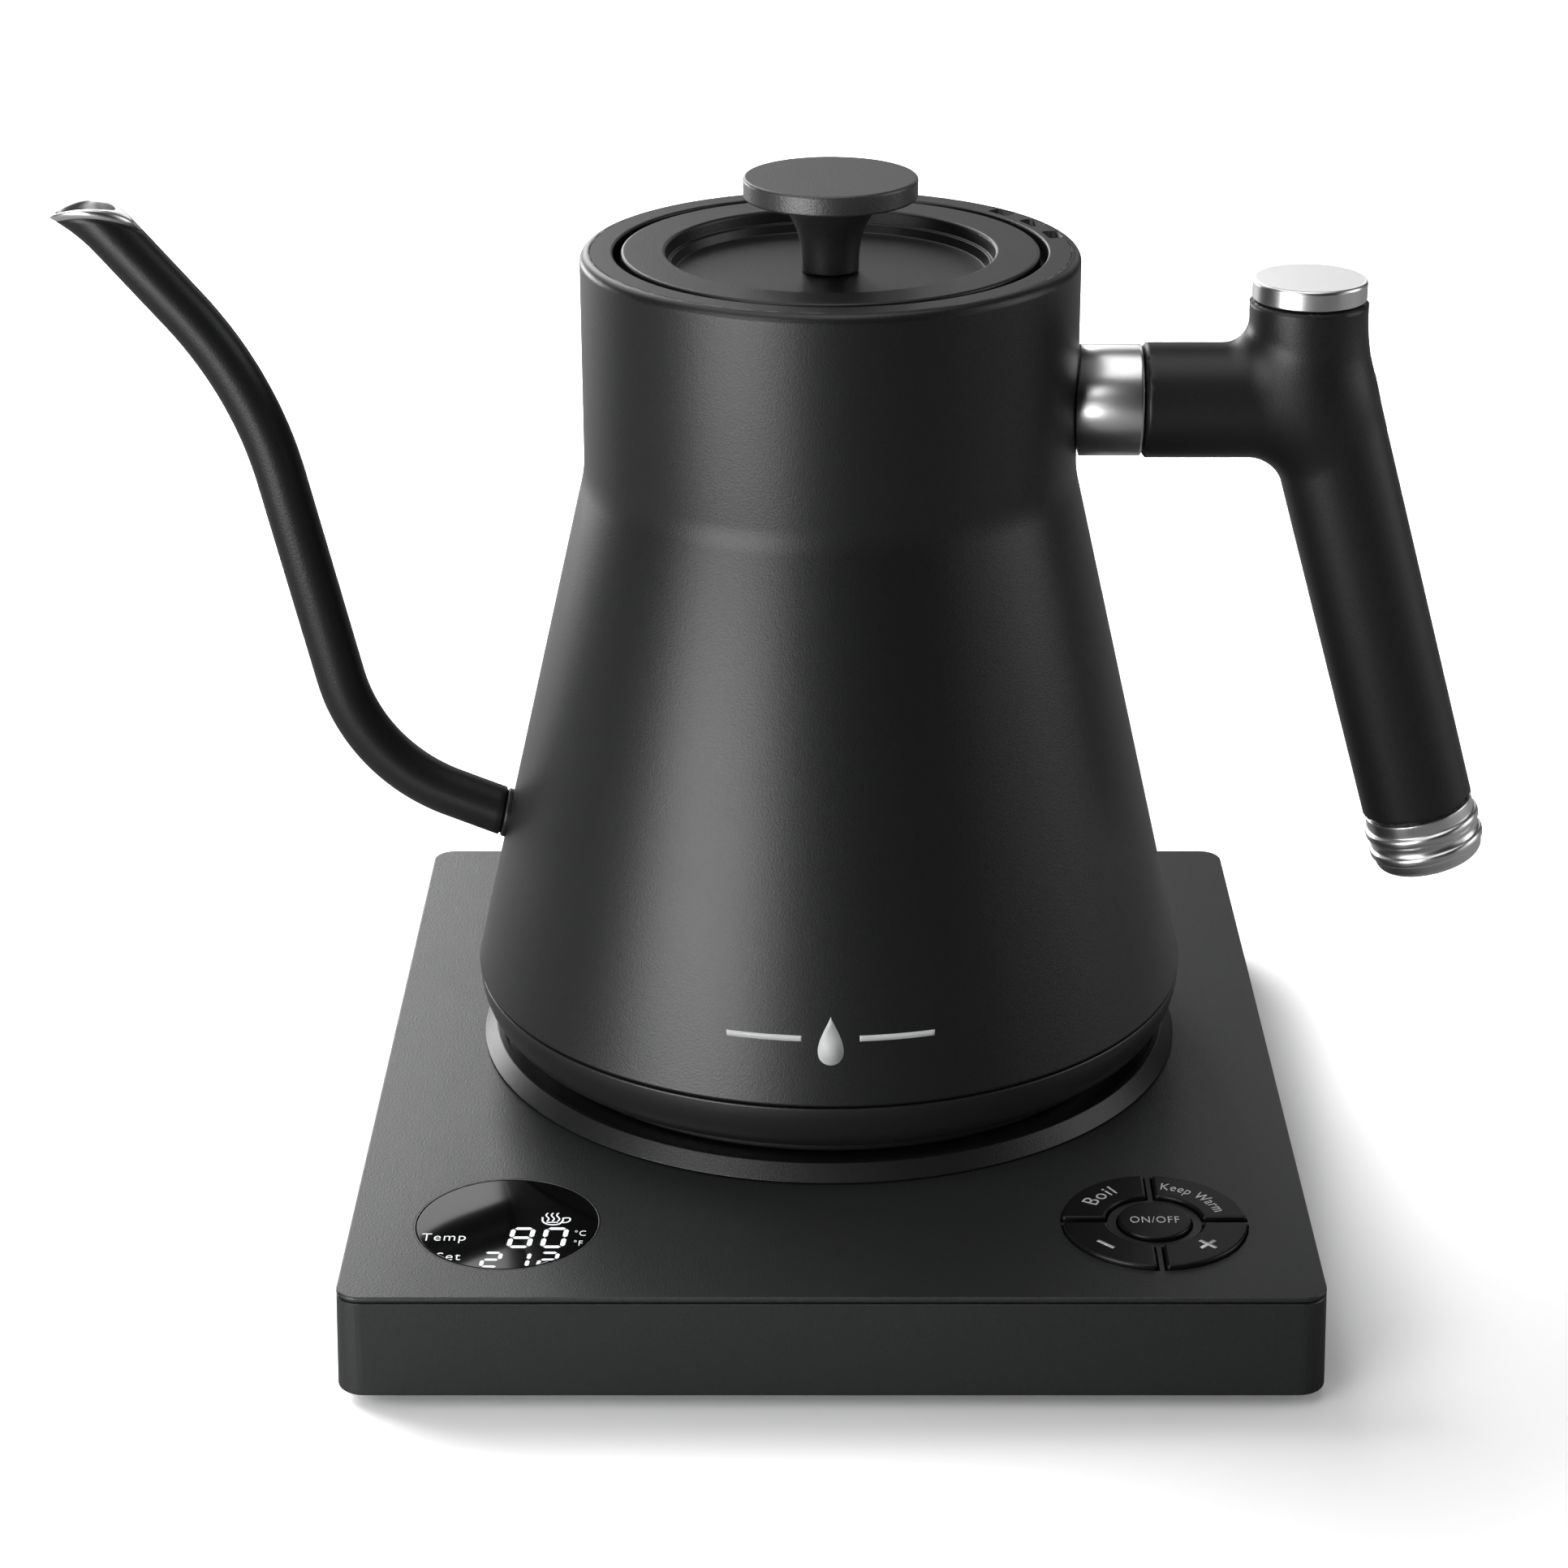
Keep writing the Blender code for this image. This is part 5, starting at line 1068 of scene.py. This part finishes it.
SEGMENTS = {
    "a": ((0, 2), (1, 2)),
    "b": ((1, 2), (1, 1)),
    "c": ((1, 1), (1, 0)),
    "d": ((0, 0), (1, 0)),
    "e": ((0, 1), (0, 0)),
    "f": ((0, 2), (0, 1)),
    "g": ((0, 1), (1, 1)),
}
DIGITS = {"0": "abcdef", "1": "bc", "2": "abged", "8": "abcdefg"}


def digit(sign, x, y, width, height, thick):
    """A seven-segment digit leaning a little to the right."""
    lines = []
    for name in DIGITS[sign]:
        (u0, v0), (u1, v1) = SEGMENTS[name]
        ends = []
        for u, v in ((u0, v0), (u1, v1)):
            rise = thick / 2 + v / 2 * (height - thick)
            ends.append(np.array([x + thick / 2 + u * (width - thick) + 0.08 * rise, y + rise]))
        way = (ends[1] - ends[0]) / np.linalg.norm(ends[1] - ends[0])
        lines.append((ends[0] + 0.22 * way, ends[1] - 0.22 * way))
    return bars(lines, thick)


def cup_sign():
    """A steaming cup: bowl, handle, and three waves."""
    t = np.linspace(0, 1, 20)
    side = [(6.5, 2.4), (6.6, 0.9), (7.3, -0.1), (8.2, -0.45)]
    bowl = stroke(smooth_curve([*side, (9.0, -0.45), (9.8, -0.1), (10.3, 0.9), (10.4, 2.2)]), 0.34)
    ear = stroke(
        smooth_curve([(10.4, 2.1), (11.5, 2.1), (11.7, 1.3), (11.2, 0.5), (10.3, 0.3)]), 0.3
    )
    waves = []
    for x in (7.4, 8.4, 9.4):
        line = np.column_stack([x + 0.3 * np.sin(t * 2 * math.pi), 0.9 + 3.1 * t])
        waves.append(stroke(line, 0.28))
    base = stroke([(7.3, 0.45), (8.4, 0.45), (9.5, 0.45)], 0.3)
    return joined([bowl, ear, base, *waves])


def inside_lens(points):
    """Points drawn in to the lens's clear circle."""
    reach = np.hypot(points[:, 0], points[:, 1])
    scale = np.minimum(1, LENS_CLEAR_R / np.maximum(reach, 1e-6))
    return np.column_stack([points[:, :2] * scale[:, None], points[:, 2]])


def make_display():
    """The lens, its bright rim and the lit signs under its surface."""
    disc = rounded([(0, -1.2, 0), (LENS_R, -1.2, 0), (LENS_R, 0, 0.25), (0, 0, 0)], closed=False)
    grid = lathe_grid(disc, full_turn(128)) * MM + DISPLAY
    grid_piece("lens", grid, "base", M["lens"], ["display_lens"])
    inner, outer = LENS_R + 0.1, LENS_R + 0.4
    rim = rounded(
        [(inner, -1.0, 0), (outer, -1.0, 0), (outer, 0.02, 0.08), (inner, 0.02, 0.08)], steps=3
    )
    lathe("lens_rim", rim, "base", M["knob"], ring=True, centre=DISPLAY, count=128)
    shapes = [digit("8", 0.4, -9.2, 4.6, 7.7, 0.9), digit("0", 6.6, -9.2, 4.6, 7.7, 0.9)]
    for sign, x in (("2", -4.1), ("1", 1.2), ("2", 6.4)):
        shapes.append(digit(sign, x, -16.4, 3.8, 5.8, 0.75))
    for text, size, x, y, narrow in (
        ("Temp", 2.9, -11.4, -5.0, 0.84), ("Set", 2.9, -9.9, -12.2, 0.84),
        ("°C", 2.0, 13.9, -3.6, 0.72), ("°F", 2.0, 13.7, -7.3, 0.72),
    ):
        points, faces = glyphs(text, size, 1.12, narrow, DISPLAY_THIN)
        shapes.append((placed(points, x, y), faces))
    shapes.append(cup_sign())
    points, faces = joined(shapes)
    shape = (inside_lens(points), faces)
    mark("display_signs", shape, DISPLAY, 0.0, "base", "glow")


def make_emblem():
    """A plain drop between two thin bars, laid on the front of the vessel."""
    t = np.linspace(0, 2 * math.pi, 48, endpoint=False)
    drop = np.column_stack([3.5 * np.sin(t) * np.sin(t / 2) ** 1.5, 4.7 * np.cos(t) - 0.4])
    count = len(drop)
    points = np.concatenate([np.column_stack([drop, np.full(count, z)]) for z in (-0.05, 0.05)])
    faces = [tuple(range(count - 1, -1, -1)), tuple(range(count, 2 * count))]
    faces += [(i, (i + 1) % count, count + (i + 1) % count, count + i) for i in range(count)]
    run = np.column_stack([np.linspace(5.5, 20, 40), np.zeros(40)])
    lines = [stroke(sign * run, 1.1, 0.05) for sign in (-1, 1)]
    points, faces = joined([(points, faces), *lines])
    height = EMBLEM_Z + points[:, 1] * math.cos(EMBLEM_LEAN)
    radius = cone_radius(height) + 0.03 + points[:, 2]
    angle = points[:, 0] / radius - math.pi / 2
    wrapped_on = np.column_stack([radius * np.cos(angle), radius * np.sin(angle), height])
    make_mesh("front_emblem", wrapped_on * MM + KETTLE, faces, "kettle", M["print"])


# Stage

# Camera: millimetres, its place measured from the kettle's middle
SENSOR_WIDTH = 36
LENS_LENGTH = 86.12422
CAMERA_SHIFT = -0.018116
CAMERA_PLACE = (-3.45, -703.0, 345.9)
CAMERA_TILT = math.radians(22.6)
AMBIENT = 0.002
FLOOR_BOUNCE = 0.12
FLOOR_GLOW = 0.06
FLOOR_FADE = (0.35, 0.9)
AIM = (0, 0, 0.1)

# Soft lights: name, place and size in metres, power in watts
LIGHTS = (
    ("key_softbox", (-0.92, -0.93, 0.22), (0.95, 0.4), 4.9),
    ("high_key_softbox", (-0.9, -0.95, 1.0), (0.9, 0.5), 6.1),
    ("low_card", (-0.33, -0.4, 0.03), (0.4, 0.2), 1.9),
    ("rim_softbox", (-0.55, 1.85, 0.75), (0.6, 1.1), 9.9),
    ("low_rim_softbox", (-1.0, 1.2, 0.12), (0.7, 0.4), 8.5),
    ("back_left_softbox", (-1.0, 1.2, 1.3), (1.0, 0.8), 5.2),
    ("back_softbox", (0.1, 1.9, 0.9), (0.5, 1.0), 0.8),
    ("back_right_softbox", (0.8, 1.8, 0.8), (0.7, 1.0), 1.3),
    ("right_softbox", (1.5, 0.1, 0.6), (0.8, 1.2), 5.1),
    ("right_front_card", (1.2, -0.5, 0.2), (0.4, 0.5), 0.4),
    ("overhead_softbox", (-0.25, 0.1, 2.0), (1.8, 1.8), 14.9),
)



# Lights that reach only the named objects
SINGLE_LIGHTS = (
    ("floor_softbox", (-1.1, 1.25, 1.05), (1.8, 1.8), 132, ("floor",)),
    (
        "steel_softbox",
        (0.15, 1.5, 0.75), (1.6, 0.7),
        2.6,
        ("neck_collar", "boss_cap", "grip_cap", "spout_mouth"),
    ),
)


def add_area(name, place, size, power):
    """A soft rectangular light that looks at the kettle."""
    light = bpy.data.lights.new(name, "AREA")
    light.shape = "RECTANGLE"
    light.size, light.size_y = size
    light.energy = power
    item = bpy.data.objects.new(name, light)
    item.location = place
    item.rotation_euler = (Vector(AIM) - Vector(place)).to_track_quat("-Z", "Y").to_euler()
    item.visible_camera = False
    bpy.context.scene.collection.objects.link(item)
    return item


def floor_mesh():
    """A floor that curves up into a backdrop."""
    across = np.linspace(-3, 3, 3)
    bend = np.linspace(0, math.pi / 2, 12)
    run = np.concatenate([[-3.0], 1.6 + 0.8 * np.sin(bend), [2.4]])
    rise = np.concatenate([[0.0], 0.8 * (1 - np.cos(bend)), [3.0]])
    points = [(x, y, z) for y, z in zip(run, rise) for x in across]
    corners = [3 * r + c for r in range(len(run) - 1) for c in range(2)]
    mesh = bpy.data.meshes.new("floor")
    mesh.from_pydata(points, [], [(i, i + 1, i + 4, i + 3) for i in corners])
    mesh.shade_smooth()
    return mesh


def make_floor():
    """A pale floor whose glow, seen only by the camera, rises to white away from the kettle."""
    mesh = floor_mesh()
    material, nodes, shader = new_material("pale_floor")
    place = nodes.add("ShaderNodeTexCoord").outputs["Object"]
    noise = nodes.add("ShaderNodeTexNoise", {"Vector": place, "Scale": 8.0})
    level = nodes.add(
        "ShaderNodeMapRange", {"Value": noise.outputs["Fac"], "To Min": 0.9, "To Max": 0.92}
    )
    seen = nodes.add("ShaderNodeLightPath").outputs["Is Camera Ray"]
    shown = nodes.add("ShaderNodeMix", {"Factor": seen, "A": FLOOR_BOUNCE, "B": level.outputs[0]})
    nodes.link(shown.outputs[0], shader.inputs["Base Color"])
    reach = nodes.add("ShaderNodeVectorMath", {0: place}, operation="LENGTH").outputs["Value"]
    near, far = FLOOR_FADE
    fade = nodes.add(
        "ShaderNodeMapRange",
        {"Value": reach, "From Min": near, "From Max": far, "To Min": FLOOR_GLOW, "To Max": 1.0},
    )
    nodes.link(nodes.math("MULTIPLY", fade.outputs[0], seen), shader.inputs["Emission Color"])
    shader.inputs["Emission Strength"].default_value = 1.0
    shader.inputs["Roughness"].default_value = 0.9
    shader.inputs["Specular IOR Level"].default_value = 0.1
    mesh.materials.append(material)
    floor = bpy.data.objects.new("floor", mesh)
    bpy.context.scene.collection.objects.link(floor)


def make_lights():
    """A backdrop that is white to the camera and dim to all else, and the soft lights."""
    world = bpy.data.worlds.new("studio")
    world.use_nodes = True
    tree = Nodes(world.node_tree)
    background = world.node_tree.nodes["Background"]
    seen = tree.add("ShaderNodeLightPath").outputs["Is Camera Ray"]
    shown = tree.add("ShaderNodeMix", {"Factor": seen, "A": AMBIENT, "B": 1.0})
    background.inputs["Color"].default_value = (1, 1, 1, 1)
    tree.link(shown.outputs[0], background.inputs["Strength"])
    bpy.context.scene.world = world

    for name, place, size, power in LIGHTS:
        add_area(name, place, size, power)
    for name, place, size, power, lit in SINGLE_LIGHTS:
        light = add_area(name, place, size, power)
        receivers = bpy.data.collections.new("lit_by_" + name)
        for item in lit:
            receivers.objects.link(bpy.data.objects[item])
        light.light_linking.receiver_collection = receivers


def make_camera():
    """The camera, and a plain colour view."""
    camera = bpy.data.cameras.new("camera")
    camera.lens = LENS_LENGTH
    camera.sensor_width = SENSOR_WIDTH
    camera.shift_x = CAMERA_SHIFT
    camera.clip_start = 0.01
    item = bpy.data.objects.new("camera", camera)
    item.location = KETTLE + np.array(CAMERA_PLACE) * MM
    item.rotation_euler = (math.radians(90) - CAMERA_TILT, 0, 0)
    bpy.context.scene.collection.objects.link(item)
    scene = bpy.context.scene
    scene.camera = item
    scene.view_settings.view_transform = "Standard"
    scene.view_settings.look = "None"


dress_cad_nodes()
make_vessel()
make_plinth()
make_lid()
make_spout()
make_handle()
make_handle_metal()
make_keys()
make_key_marks()
make_display()
make_emblem()
make_floor()
make_lights()
make_camera()
